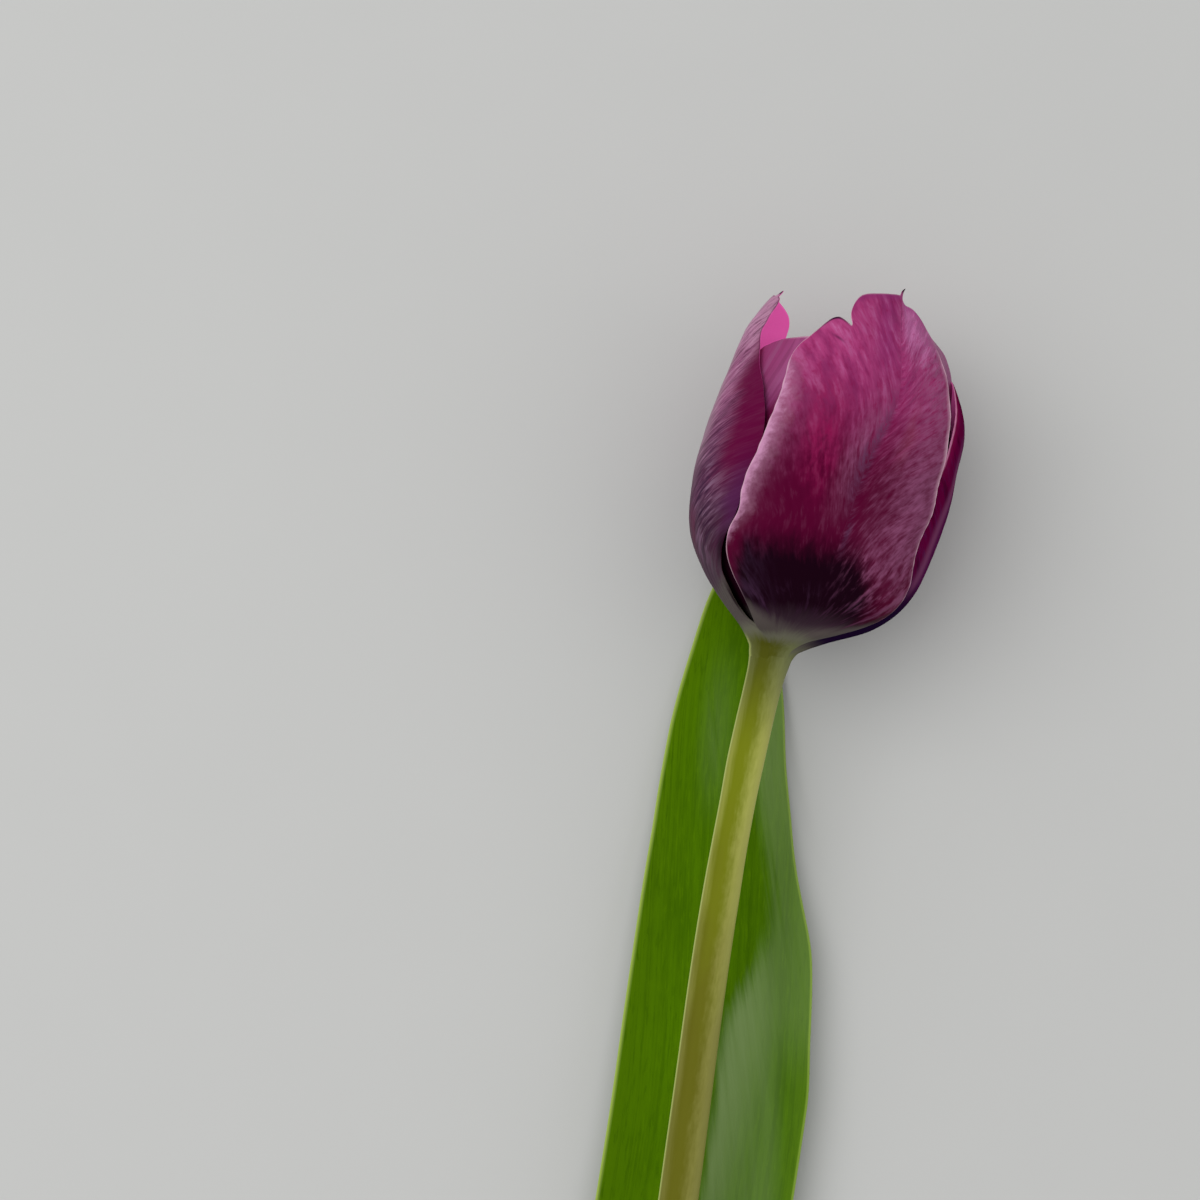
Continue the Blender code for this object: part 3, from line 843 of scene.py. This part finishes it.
def front_dark_zone(marks, tints, body, grain):
    """Near-black above the foot, the dark blotch with painted shade in it, bluish at its left, with
    pale veins to the right.
    """
    across, height = marks.across, marks.height
    top = 15.5 - rise(across, 0.1, 0.8) * 9.0 - rise(across, -0.75, -1.0) * 6.0
    # The near-black zone: the dark blotch, deepened with painted shade low in the cup.
    dark = rise(height + marks.ragged * 0.3 - top, 4.2, -2.6)
    shade = mix(rise(across, -0.45, -0.85) * rise(grain, 0.40, 0.60) * 0.55, tints.plum, tints.ink)
    low = rise(across, -0.1, 0.5) * near(height, 12.0, 10.0)
    veins = rise(marks.streak * 0.4 + marks.fine * 0.2 + marks.blotch * 0.4, 0.48, 0.62)
    return lay(
        body,
        (dark, shade),
        (veins * low * 0.62, tints.mauve),
        (veins * near(height, 7.0, 4.0) * 0.35, tints.slate),
        (marks.above(7.0, 3.0, 0.15) * 0.55, tints.haze))


def front_margins(marks, tints, body):
    """Lilac margin at the left and thin pale rims, painted light on thin margins, and the curled lobe
    beside the notch with its painted shade.
    """
    across, height, gap = marks.across, marks.height, marks.gap
    wide = near(height, 32.0, 14.0) * 0.65 + 0.5
    broken = marks.side_gap + (marks.speckle - 0.5) * 2.5 + (marks.blotch - 0.5) * 2.5
    # The lilac margin and its soft edge: painted light on the thin, rolled-out margin.
    lilac = rise(broken - wide, 1.2, -1.1) * rise(across, -0.5, -0.6) * rise(height, 14.5, 17.0)
    soft = rise(broken - wide, 3.6, 0.0) * rise(across, -0.5, -0.7) * rise(height, 16.0, 22.0)
    # Thin pale rims: painted highlights.
    rim = rise(gap, 0.40, 0.08) * rise(height, 5.0, 14.0)
    right_rim_highlight = rise(gap, 1.3, 0.2) * rise(across, 0.5, 0.6) * near(height, 38.0, 26.0)
    patch = near(across, -0.65, 0.09) * near(height + across * 12.0, 45.4, 1.0)
    # Dark line and curled rim on the lobe: painted shade.
    line = near(across, -0.62, 0.09) * near(height + across * 9.0, 46.0, 0.45)
    curl = near(across, -0.67, 0.2) * rise(gap, 0.60, 0.30) * rise(height, 50.0, 52.0)
    return lay(
        body,
        (soft * rise(height, 50.0, 41.0) * 0.32, tints.dusk),
        (lilac * rise(height, 50.0, 42.0) * 0.78, tints.lilac),
        (rim * 0.6 + right_rim_highlight * 0.5, tints.rim_highlight),
        (patch * rise(marks.fine, 0.3, 0.6) * 0.5, tints.blush),
        (line * 0.6, tints.dark_rim),
        (curl, tints.dark_rim),
        (rise(gap, 1.8, 0.3) * rise(height, 56.0, 60.0) * 0.5, tints.purple),
        (rise(height, 62.9, 64.2), tints.spike))


def front_coat(marks, tints):
    """Front petal: dark above its foot with painted shade, crimson, magenta, a lilac margin of painted
    light and mauve painted sheen to the right.
    """
    tip = marks.above(48.0, 57.0) * rise(marks.across, -0.05, 0.3)
    grain = marks.blotch * 0.45 + marks.fine * 0.4 + marks.thread * 0.15
    body = front_flame(marks, tints, tip)
    body = front_veil_and_sheen(marks, tints, body, tip, grain)
    body = front_dark_zone(marks, tints, body, grain)
    body = front_margins(marks, tints, body)
    return add_foot(marks, tints, body, 3.7, 3.8, 3.0)


def left_coat(marks, tints):
    """Left petal: grey violet, paler upwards, with feathered lines, the pale ones partly painted
    highlights, and a plum front margin.
    """
    across, height, fine, streak, blotch = (
        marks.across, marks.height, marks.fine, marks.streak, marks.blotch)
    feather = streak * 0.45 + fine * 0.35 + marks.thread * 0.2
    body = lay(
        mix(marks.above(10.0, 30.0), tints.haze, tints.wine),
        (marks.above(28.0, 45.0), tints.heather),
        (marks.above(46.0, 57.0) * 0.8, tints.dusk),
        (near(across, 0.35, 0.45) * near(height, 54.5, 5.5) * 0.45, tints.lilac),
        # Pale feather lines: veins, partly painted highlights.
        (rise(feather, 0.48, 0.62) * rise(height, 20.0, 38.0) * 0.75, tints.dusk),
        (rise(feather, 0.52, 0.38) * 0.8, tints.wine_dark),
        (rise(blotch, 0.54, 0.64) * 0.3, tints.wine_dark))
    # Grey painted sheen where it turns away, plum along the front margin, silvery mottling low down.
    edge = rise(across + (streak - 0.5) * 0.5, 0.50, 0.80)
    plum = edge * rise(height, 20.0, 31.0) * rise(height - across * 18.0, 37.0, 29.0)
    violet = rise(across + (streak - 0.5) * 0.3, 0.75, 0.95) * near(height, 22.0, 12.0)
    low = near(across, 0.6, 0.34) * near(height, 22.0, 16.0) * (1.0 - plum * 0.9)
    mottle = blotch * 0.45 + fine * 0.35 + streak * 0.2
    rust = near(across, 0.38, 0.16) * near(height, 18.0, 7.0) * rise(marks.cloud, 0.35, 0.55)
    body = lay(
        body,
        (rise(across, 0.5, 0.25) * rise(height, 22.0, 36.0) * 0.5, tints.pearl_sheen),
        (plum * 0.95, tints.claret),
        (violet * 0.75, tints.violet),
        (rise(mottle, 0.51, 0.42) * low * 0.75, tints.indigo),
        (rise(mottle, 0.49, 0.59) * low * 0.65, tints.silver),
        (rust * 0.6, tints.claret),
        # Near-black low on the front margin: painted shade of the dark gap beside the front petal.
        (rise(across, 0.86, 0.97) * near(height, 14.0, 5.0) * 0.8, tints.plum),
        (rise(height, 14.0, 6.0) * 0.5, tints.haze),
        (rise(marks.gap, 0.35, 0.1) * rise(height, 46.0, 52.0) * 0.6, tints.wine_dark),
        (near(across, 0.6, 0.14) * rise(height, 61.2, 61.8), tints.spike))
    body = add_foot(marks, tints, body, 8.0, 2.0, 3.4)
    # Near-black at the front margin's foot: painted shade of the gap beside the front petal.
    return mix(rise(across, 0.90, 0.94) * near(height, 6.0, 3.6) * 0.95, body, tints.plum)


def right_coat(marks, tints):
    """Right petal: deep crimson, near-black violet low down with painted shade, a painted sheen along
    its contour, mauve where it is not hidden.
    """
    across, height, fine, gap = marks.across, marks.height, marks.fine, marks.gap
    above = rise(height, 9.0, 15.0)
    wax = rise(across, -0.5, -0.15) * rise(height + marks.ragged, 6.0, 18.0)
    front_rim = rise(gap, 0.9, 0.2) * rise(across, -0.8, -0.9) * rise(height, 30.0, 36.0)
    body = lay(
        # Near-black violet low down: the dark blotch with painted shade under the front petal's edge.
        mix(marks.above(8.0, 20.0), tints.indigo, tints.claret),
        (rise(fine, 0.48, 0.64) * 0.4, tints.violet),
        (rise(marks.streak, 0.5, 0.4) * 0.4, tints.plum),
        (rise(across + (fine - 0.5) * 0.2, -0.86, -0.7) * above * 0.7, tints.violet),
        # Mauve along the contour: painted sheen.
        (near(across, -0.73, 0.09) * above * rise(height, 44.0, 34.0) * 0.45, tints.mauve),
        (rise(across, -0.88, -0.96) * rise(height, 30.0, 38.0) * 0.5, tints.flame),
        ((1.0 - above) * 0.8, tints.indigo),
        (wax * rise(marks.streak * 0.6 + fine * 0.4, 0.36, 0.6), tints.wine),
        (wax * rise(height, 36.0, 56.0) * 0.8, tints.heather),
        (wax * rise(marks.thread * 0.5 + fine * 0.5, 0.50, 0.66) * 0.4, tints.dusk),
        (front_rim * 0.8, tints.rim_pink),
        (rise(gap, 0.35, 0.1) * rise(across, -0.5, 0.0) * 0.5, tints.lilac),
        (rise(height, 60.4, 61.2) * near(across, 0.0, 0.1), tints.spike))
    return add_foot(marks, tints, body, 1.8, 0.5, 1.2)


def inner_left_coat(marks, tints):
    """Left inner petal: crimson to magenta with upright streaks, pale towards its rim, near-black low
    down with painted shade.
    """
    across, height, fine = marks.across, marks.height, marks.fine
    threads = rise(marks.streak * 0.6 + fine * 0.4, 0.48, 0.62) * rise(across, -0.6, 0.0)
    upright = noise((across * 16.0, height * 0.05, 4.0))
    body = lay(
        mix(marks.above(36.0, 50.0, 0.3), tints.claret, tints.cerise),
        (threads * 0.7, tints.purple),
        (rise(across, -0.35, -0.1) * rise(height, 38.0, 48.0) * 0.5, tints.orchid),
        (rise(upright, 0.50, 0.62) * rise(height, 38.0, 46.0) * 0.45, tints.mauve),
        (rise(upright, 0.48, 0.36) * 0.5, tints.claret),
        (rise(height, 36.0, 44.0) * 0.26, tints.orchid),
        # Near-black low down: the dark blotch with painted shade deep in the cup.
        (marks.above(34.0, 22.0, 0.3) * 0.96, tints.plum),
        (rise(marks.gap, 0.5, 0.1) * rise(across, -0.4, 0.0) * 0.85, tints.rim_highlight))
    return add_foot(marks, tints, body, 4.0, 0.0, 2.0)


def inner_coat(marks, tints):
    """Other inner petals: purple with a waxy bloom, a rose patch of painted light partway up and a pale
    rim.
    """
    across, height, fine = marks.across, marks.height, marks.fine
    body = lay(
        mix(marks.above(20.0, 46.0, 0.5), tints.violet, tints.purple),
        (rise(marks.streak * 0.6 + fine * 0.4, 0.4, 0.62) * 0.6, tints.wine),
        (marks.above(44.0, 56.0) * 0.85, tints.heather),
        (rise(marks.thread * 0.5 + fine * 0.5, 0.52, 0.66) * 0.3, tints.dusk),
        # Rose patch partway up: painted light that brightens it in the cup's shade.
        (near(across, -0.35, 0.3) * near(height, 40.0, 10.0) * 0.8, tints.rose),
        (rise(height, 22.0, 12.0), tints.plum),
        (rise(marks.gap, 0.4, 0.1) * 0.5, tints.lilac))
    return add_foot(marks, tints, body, 5.0, 0.0, 2.0)


def inner_face(marks, tints):
    """Inside of any petal: pink near the tip, brightened as painted light coming through it, crimson
    lower, cream at the foot.
    """
    height = marks.height
    return lay(
        # Pink near the tip: brightened as painted light coming through the petal.
        mix(marks.above(26.0, 52.0, 0.3), tints.crimson, tints.pink),
        (rise(marks.fine, 0.55, 0.35) * rise(height, 54.0, 40.0) * 0.5, tints.claret),
        (rise(marks.thread, 0.55, 0.75) * 0.2, tints.rim_pink),
        (near(marks.across, 0.0, 0.12) * rise(height, 12.0, 30.0) * 0.25, tints.orchid),
        (marks.above(13.0, 4.0, 0.2), tints.cream))


# Each look: what coats its outside, a number that sets its patterns apart, how long its
# streaks are drawn out, its gloss, and how its veins bend at left and right, by height and
# by height squared.
LOOKS = {
    "front": {
        "coat": front_coat, "number": 1.0, "stretch": 1.0, "gloss": 0.03,
        "bends": ((0.015, 0.00025), (0.010, 0.00110)),
    },
    "left": {
        "coat": left_coat, "number": 2.0, "stretch": 1.9, "gloss": 0.02,
        "bends": ((0.010, 0.00120), (0.010, 0.00120)),
    },
    "right": {
        "coat": right_coat, "number": 3.0, "stretch": 1.5, "gloss": 0.0,
        "bends": ((0.020, 0.00050), (0.010, 0.00100)),
    },
    "inner_left": {
        "coat": inner_left_coat, "number": 4.0, "stretch": 1.6, "gloss": 0.0,
        "bends": ((0.015, 0.0), (0.015, 0.0)),
    },
    "inner_right": {
        "coat": inner_coat, "number": 5.0, "stretch": 1.6, "gloss": 0.03,
        "bends": ((0.015, 0.0005), (0.015, 0.0005)),
    },
}
# How strongly the inside of a petal glows: painted light for the light that comes through its tip.
TIP_LIGHT_GLOW = 0.5


def petal_skin(name, look):
    """Satin petal: its own coat outside, pink inside with a painted glow near the tip, veins in its
    relief.
    """
    tints = bpy.context.scene.tulip_colours
    skin, shader, seed = start_skin(name, 0.42, look["gloss"], (1.0, 0.25, 0.7))
    marks = PetalMarks(seed, look["number"], look["bends"], look["stretch"])
    inner = inner_face(marks, tints)
    put(mix(marks.inside, look["coat"](marks, tints), inner), shader, "Base Color")
    put(0.36 + (1.0 - marks.fine) * 0.14, shader, "Roughness")
    # A painted glow near the tip inside, standing in for light through the petal.
    tip_light_glow = marks.inside * rise(marks.height, 40.0, 58.0)
    put(mix(tip_light_glow, (0.0, 0.0, 0.0), tints.pink), shader, "Emission Color")
    shader.inputs["Emission Strength"].default_value = TIP_LIGHT_GLOW
    veins = (marks.thread * 0.5 + marks.fine * 0.5) * rise(marks.height, 1.0, 9.0)
    put_bump(veins, shader, 0.35, 0.00012)
    return skin


def stem_fibres(x, y, z):
    """Fine fibres along the stem."""
    return noise((x * 2500.0, y * 45.0, z * 2500.0))


def stem_coat(seed, tints, turn, below):
    """The stem's colours round it, by turn from its top and distance below the junction; its paler
    sides and thin rim are painted light.
    """
    x, y, z = split(own_place(seed))
    fibre = stem_fibres(x, y, z)
    mottle = noise((x * 400.0, y * 90.0, z * 400.0), roughness=0.5)
    speck = noise((x * 1500.0, y * 500.0, z * 1500.0))
    side = seed.math("SINE", turn) + (fibre - 0.5) * 0.3 + (mottle - 0.5) * 0.4
    # Darker and browner farther below the bloom.
    farther_down = rise((mottle - 0.5) * 30.0 + below, 25.0, 75.0)
    high = rise((mottle - 0.5) * 5.0 + below, 20.0, 0.0)
    core = mix(high, mix(farther_down, tints.stem_core, tints.stem_core_low), tints.stem_top)
    pale = mix(high * 0.9, mix(farther_down, tints.stem_pale, tints.stem_pale_low), tints.stem_top_pale)
    return lay(
        # Paler towards the right and the far left: painted light.
        mix(rise(side + (speck - 0.5) * 0.5, -0.2, 0.85), core, pale),
        (rise(side, -0.5, -1.0) * 0.5, pale),
        # Thin painted highlight along the left.
        (rise(turn, -1.15, -1.45) * (1.0 - high * 0.35) * 0.85, tints.stem_rim_highlight))


def stem_skin():
    """Stem: olive along its middle, sides paler as painted light, fine lengthwise fibres and pith at
    the cut.
    """
    tints = bpy.context.scene.tulip_colours
    skin, shader, seed = start_skin("stem_skin", 0.45, 0.08, (1.0, 1.0, 0.3))
    turn, below, radius = growth_of(seed)
    fibre = stem_fibres(*split(own_place(seed)))
    rind = rise(radius, STEM_END_RADIUS - 0.9, STEM_END_RADIUS - 0.5)
    dots = rise(fibre, 0.52, 0.60) * rise(radius, 1.0, 2.0) * 0.6
    pith = lay(tints.stem_cut, (dots, tints.stem_core), (rind, tints.stem_core_low))
    cut = rise(below, STEM_LENGTH - 0.06, STEM_LENGTH - 0.01)
    put(mix(cut, stem_coat(seed, tints, turn, below), pith), shader, "Base Color")
    put(0.4 + (1.0 - fibre) * 0.15, shader, "Roughness")
    put_bump(fibre, shader, 0.3, 0.00008)
    return skin


def leaf_wax_and_sheen(across, run, side):
    """Waxy bloom on the leaf's right with painted sheen in it, and a bright slanting patch lower down
    that is a painted highlight. Gives where it lies, how much of it shows, and how much of the thin
    veil beside the stem shows."""
    start = 10.6 - rise(run, -44.0, -72.0) * 8.9 - rise(run, -44.0, -20.0) * 4.5
    brush = noise((side * 0.8 + run * 0.16, run * 0.03, 9.0), detail=4.0)
    wax = rise(side - start + (brush - 0.5) * 5.0, -1.6, 2.6) * rise(across, 0.05, 0.2)
    # The bright slanting patch: a painted highlight where the leaf curves.
    ridge = near(side - run * 0.18, 18.0, 8.5) * rise(run + side, -36.0, -58.0)
    strong = ridge * 0.62 + rise(run, -42.0, -15.0) * 0.2 + 0.38
    bare = rise(side + run * 0.10, 3.8, 7.5) * rise(run, -60.0, -76.0)
    veil = near(side, -1.0, 4.5) * near(run, -14.0, 20.0) * brush
    return wax, wax * strong * (1.0 - bare * 0.8) * (0.6 + brush * 0.7), veil * 0.36


def leaf_skin():
    """Leaf: saturated green with soft lengthwise bands, a waxy patch with painted sheen and a bright
    margin.
    """
    tints = bpy.context.scene.tulip_colours
    skin, shader, seed = start_skin("leaf_skin", 0.5, 0.05, (0.6, 1.0, 0.15))
    across, run, reach = growth_of(seed)
    side = across * reach
    gap = reach - seed.math("ABSOLUTE", side)
    left = rise(across, 0.1, -0.1)
    bands = noise((side * 0.7, run * 0.012, 0.0), detail=4.0, roughness=0.55)
    fine = noise((side * 3.2, run * 0.02, 3.0))
    cloud = noise((side * 0.2, run * 0.05, 6.0), detail=4.0)
    blotch = noise((side * 1.6, run * 0.22, 12.0), detail=4.0)
    wax, wax_and_sheen_coat, veil = leaf_wax_and_sheen(across, run, side)
    body = lay(
        mix(rise(bands * 0.5 + cloud * 0.5, 0.36, 0.64), tints.leaf_dark, tints.leaf_green),
        (rise(fine, 0.45, 0.75) * 0.35, tints.leaf_margin),
        (rise(gap, 3.5, 0.6) * (left * 0.3 + 0.6), tints.leaf_margin),
        (left * rise(gap + (bands - 0.5) * 6.0, 9.0, 3.0) * 0.4, tints.leaf_margin),
        (left * rise(run, -42.0, -75.0) * 0.4, tints.leaf_margin),
        (rise(bands * 0.4 + fine * 0.6, 0.50, 0.38) * 0.45, tints.leaf_dark),
        (rise(cloud, 0.48, 0.36) * rise(fine, 0.6, 0.4) * 0.4, tints.leaf_dark),
        (rise(blotch, 0.52, 0.68) * 0.5, tints.leaf_margin),
        (rise(blotch, 0.46, 0.34) * 0.5, tints.leaf_dark))
    # Over the greens: the waxy bloom with painted sheen, the bright edge and the pale foot.
    body = lay(
        body,
        (wax_and_sheen_coat, tints.leaf_wax_and_sheen),
        (veil, tints.leaf_wax_and_sheen),
        (rise(gap, 0.45, 0.1) * (left * 0.5 + 0.4), tints.leaf_edge),
        (rise(gap, 0.8, 0.3) * left * 0.6, tints.leaf_edge),
        (rise(run + (fine - 0.5) * 12.0, -150.0, -185.0) * 0.8, tints.leaf_foot))
    put(body, shader, "Base Color")
    put(0.45 + wax * 0.2, shader, "Roughness")
    put_bump(bands * 0.5 + fine * 0.5, shader, 0.4, bpy.context.scene.tulip_sizes.leaf_relief)
    return skin


def pistil_skin():
    """Pistil: pale green ovary, cream and downy at the stigma."""
    tints = bpy.context.scene.tulip_colours
    skin, shader, seed = start_skin("pistil_skin", 0.5)
    part = growth_of(seed)[1]
    grain = noise(own_place(seed), 2600.0)
    body = mix(rise(part + (grain - 0.5) * 0.06, 0.82, 0.9), tints.pistil_green, tints.stigma_cream)
    put(mix(rise(grain, 0.5, 0.8) * 0.4, body, tints.stem_core), shader, "Base Color")
    put_bump(grain, shader, 0.5, 0.00015)
    return skin


def stamen_skin():
    """Stamen: smooth plum filament and a powdery, near-black anther."""
    tints = bpy.context.scene.tulip_colours
    skin, shader, seed = start_skin("stamen_skin", 0.8)
    part = growth_of(seed)[1]
    grain = noise(own_place(seed), 5200.0, 2.0, 0.7)
    body = lay(
        mix(rise(part, 0.46, 0.52), tints.plum, tints.anther),
        (rise(part, 0.3, 0.02) * 0.7, tints.cream),
        (rise(grain, 0.55, 0.75) * rise(part, 0.5, 0.55) * 0.5, tints.slate))
    put(body, shader, "Base Color")
    put_bump(grain, shader, 0.8, 0.0002)
    return skin


def floor_skin():
    """Plain pale floor with the faintest grain."""
    tints = bpy.context.scene.tulip_colours
    skin, shader, seed = start_skin("floor_skin", 0.9, 0.1)
    grain = noise(own_place(seed), 40.0, 2.0, 0.5)
    paler = tuple(part * 1.02 for part in tints.floor)
    put(mix(grain, tints.floor, paler), shader, "Base Color")
    return skin


# ---------------------------------------------------------------- operators


class TULIP_OT_petals(bpy.types.Operator):
    """Make the three outer and three inner petals"""
    bl_idname = "tulip.petals"
    bl_label = "Petals"

    def execute(self, context):
        sizes = context.scene.tulip_sizes
        skins = {look: petal_skin(f"petal_skin_{look}", LOOKS[look]) for look in LOOKS}
        for name, form in PETALS.items():
            self.make(name, form, sizes, skins[form["look"]])
        return {"FINISHED"}

    def make(self, name, form, sizes, skin):
        """One petal: a grid bent to its form, with its wall and a round margin."""
        piece = add_grid(name, form["columns"], form["rows"])

        def place(x, y):
            spread = smooth(form["spread"], x)
            return petal_point(form, spread, ((y + 1) / 2) ** ROW_CROWDING, sizes.vein_relief)

        shape_grid(piece, place)
        thicken(
            piece, sizes.petal_wall, -1, sizes.petal_margin,
            lambda growth: ease(growth[2] / 3.0) * ease((growth[1] + 1.0) / 3.0))
        node = name.removesuffix("_skin")
        finish_piece(piece, skin, node)


class TULIP_OT_stem(bpy.types.Operator):
    """Make the stem with its receptacle"""
    bl_idname = "tulip.stem"
    bl_label = "Stem"

    def execute(self, context):
        first, last = RECEPTACLE[0][0], RECEPTACLE[-1][0]

        def place(turn, along):
            # The last rings close in on the cut end's middle.
            shaft = min(along / SHAFT_SHARE, 1.0)
            cut = max(0.0, (along - SHAFT_SHARE) / (1 - SHAFT_SHARE))
            below = first + (last - first) * shaft ** RING_CROWDING
            radius = smooth(RECEPTACLE, below) * (1 - cut)
            ribs = 1 + 0.006 * sin(turn * 3 + below * 0.02) + 0.004 * sin(turn * 11 + 1)
            turn_from_top = (turn + pi) % (2 * pi) - pi
            return stem_point(turn, below, radius * ribs), (turn_from_top, below, radius)

        piece = roll_up("stem_skin", STEM_GRID, place)
        finish_piece(piece, stem_skin(), "stem", SHARP_EDGE)
        return {"FINISHED"}


class TULIP_OT_leaf(bpy.types.Operator):
    """Make the leaf"""
    bl_idname = "tulip.leaf"
    bl_label = "Leaf"

    def execute(self, context):
        sizes = context.scene.tulip_sizes
        piece = add_grid("leaf_skin", *LEAF_GRID)
        shape_grid(piece, lambda x, y: leaf_point(x, (y + 1) / 2))
        thicken(
            piece, sizes.leaf_wall, 1, LEAF_MARGIN,
            lambda growth: ease((1 - abs(growth[0])) * growth[2] / 4.0))
        finish_piece(piece, leaf_skin(), "leaf")
        return {"FINISHED"}


def rod_place(foot, head, profile, lobes):
    """Places round a rod from foot to head, both (right, height, up) in mm."""
    foot, head = Vector(foot), Vector(head)
    span = head - foot
    side = span.cross(Vector((0, 0, 1))).normalized()
    front = side.cross(span).normalized()
    steps = len(profile) - 1
    parts = tuple((i / steps, part) for i, (part, radius) in enumerate(profile))
    radii = tuple((i / steps, radius) for i, (part, radius) in enumerate(profile))

    def place(turn, along):
        part = smooth(parts, along)
        radius = max(0.0, smooth(radii, along)) * lobes(turn, part)
        spot = foot + span * part + (side * cos(turn) + front * sin(turn)) * radius
        return to_world(*spot), (turn, part, radius)

    return place


class TULIP_OT_pistil(bpy.types.Operator):
    """Make the ovary with its three-lobed stigma"""
    bl_idname = "tulip.pistil"
    bl_label = "Pistil"

    def execute(self, context):
        def lobes(turn, part):
            crest = 0.10 * ease((part - 0.85) / 0.1) * cos(9 * turn)
            return 1 + 0.22 * part * cos(3 * turn) + crest

        place = rod_place((*PISTIL_FOOT, 0), (*PISTIL_TOP, 0), PISTIL_PROFILE, lobes)
        piece = roll_up("pistil_skin", PISTIL_GRID, place)
        finish_piece(piece, pistil_skin(), "pistil")
        return {"FINISHED"}


class TULIP_OT_stamens(bpy.types.Operator):
    """Make the six stamens round the pistil"""
    bl_idname = "tulip.stamens"
    bl_label = "Stamens"

    def execute(self, context):
        skin = stamen_skin()
        for number in range(1, STAMEN_COUNT + 1):
            self.make(number, skin)
        return {"FINISHED"}

    def make(self, number, skin):
        """A filament with a grooved anther, leaning outwards beside the pistil."""
        turn = 2 * pi * (number - 0.5) / STAMEN_COUNT
        lean = (PISTIL_TOP[0] - PISTIL_FOOT[0]) / (PISTIL_TOP[1] - PISTIL_FOOT[1])

        def at(radius, height):
            centre = PISTIL_FOOT[0] + lean * (height - PISTIL_FOOT[1])
            return (centre + radius * sin(turn), height, radius * cos(turn))

        def lobes(bearing, part):
            grooves = ease((part - 0.5) / 0.06) * ease((1 - part) / 0.05)
            return 1 - grooves * 0.22 * (0.5 + 0.5 * cos(4 * bearing)) ** 4

        place = rod_place(at(*STAMEN_FOOT), at(*STAMEN_HEAD), STAMEN_PROFILE, lobes)
        piece = roll_up(f"stamen_{number}_skin", STAMEN_GRID, place)
        finish_piece(piece, skin, f"stamen_{number}")


def add_light(name, place, target, size, power):
    """A large soft area light that looks at a target."""
    bpy.ops.object.light_add(type="AREA", location=place)
    light = bpy.context.object
    light.name = name
    light.data.shape = "DISK"
    light.data.size = size
    light.data.energy = power
    light.rotation_euler = (Vector(place) - Vector(target)).to_track_quat("Z", "Y").to_euler()


class TULIP_OT_stage(bpy.types.Operator):
    """Make the floor, the soft light and the camera"""
    bl_idname = "tulip.stage"
    bl_label = "Stage"

    def execute(self, context):
        stage = context.scene.tulip_stage
        self.floor(stage)
        self.light(context, stage)
        self.camera(context, stage)
        context.scene.view_settings.view_transform = "Standard"
        return {"FINISHED"}

    def floor(self, stage):
        bpy.ops.object.select_all(action="DESELECT")
        bpy.ops.mesh.primitive_plane_add(size=stage.floor_size)
        floor = bpy.context.object
        floor.name = "floor"
        floor.data.materials.append(floor_skin())

    def light(self, context, stage):
        world = bpy.data.worlds.new("soft_sky")
        world.use_nodes = True
        sky = world.node_tree.nodes["Background"]
        sky.inputs["Color"].default_value = (1, 1, 1, 1)
        sky.inputs["Strength"].default_value = stage.sky
        context.scene.world = world
        middle = (0.0, JUNCTION.y * MM, 0.0)
        add_light("key", KEY_PLACE, middle, KEY_SIZE, stage.key_power)
        add_light("fill", FILL_PLACE, middle, FILL_SIZE, stage.fill_power)

    def camera(self, context, stage):
        back = Vector((0, -cos(stage.elevation), sin(stage.elevation)))
        level_up = Vector((0, sin(stage.elevation), cos(stage.elevation)))
        level_right = Vector((1, 0, 0))
        up = level_up * cos(stage.roll) - level_right * sin(stage.roll)
        right = level_right * cos(stage.roll) + level_up * sin(stage.roll)
        target = JUNCTION * MM - right * stage.view_left + up * stage.view_up
        bpy.ops.object.camera_add()
        camera = bpy.context.object
        camera.data.lens = stage.lens
        camera.data.sensor_width = SENSOR_WIDTH
        turn = Matrix((right, up, back)).transposed().to_4x4()
        turn.translation = target + back * stage.distance
        camera.matrix_world = turn
        context.scene.camera = camera


class TULIP_PT_panel(bpy.types.Panel):
    """Lists the tulip's pieces, sizes and colours"""
    bl_idname = "TULIP_PT_panel"
    bl_label = "Tulip"
    bl_space_type = "VIEW_3D"
    bl_region_type = "UI"
    bl_category = "Tulip"

    def draw(self, context):
        for operator in OPERATORS:
            self.layout.operator(operator.bl_idname)
        for group in GROUPS:
            settings = getattr(context.scene, group)
            for name in settings.bl_rna.properties.keys():
                if name not in ("rna_type", "name"):
                    self.layout.prop(settings, name)


OPERATORS = (
    TULIP_OT_petals, TULIP_OT_stem, TULIP_OT_leaf, TULIP_OT_pistil, TULIP_OT_stamens, TULIP_OT_stage,
)
GROUPS = {"tulip_sizes": TulipSizes, "tulip_colours": TulipColours, "tulip_stage": TulipStage}


def register():
    for item in (*GROUPS.values(), *OPERATORS, TULIP_PT_panel):
        bpy.utils.register_class(item)
    for name, group in GROUPS.items():
        setattr(bpy.types.Scene, name, PointerProperty(type=group))


def unregister():
    for name in GROUPS:
        delattr(bpy.types.Scene, name)
    for item in (TULIP_PT_panel, *reversed(OPERATORS), *reversed(GROUPS.values())):
        bpy.utils.unregister_class(item)


def main():
    register()
    bpy.ops.tulip.stage()
    bpy.ops.tulip.stem()
    bpy.ops.tulip.leaf()
    bpy.ops.tulip.petals()
    bpy.ops.tulip.pistil()
    bpy.ops.tulip.stamens()


if __name__ == "__main__":
    main()
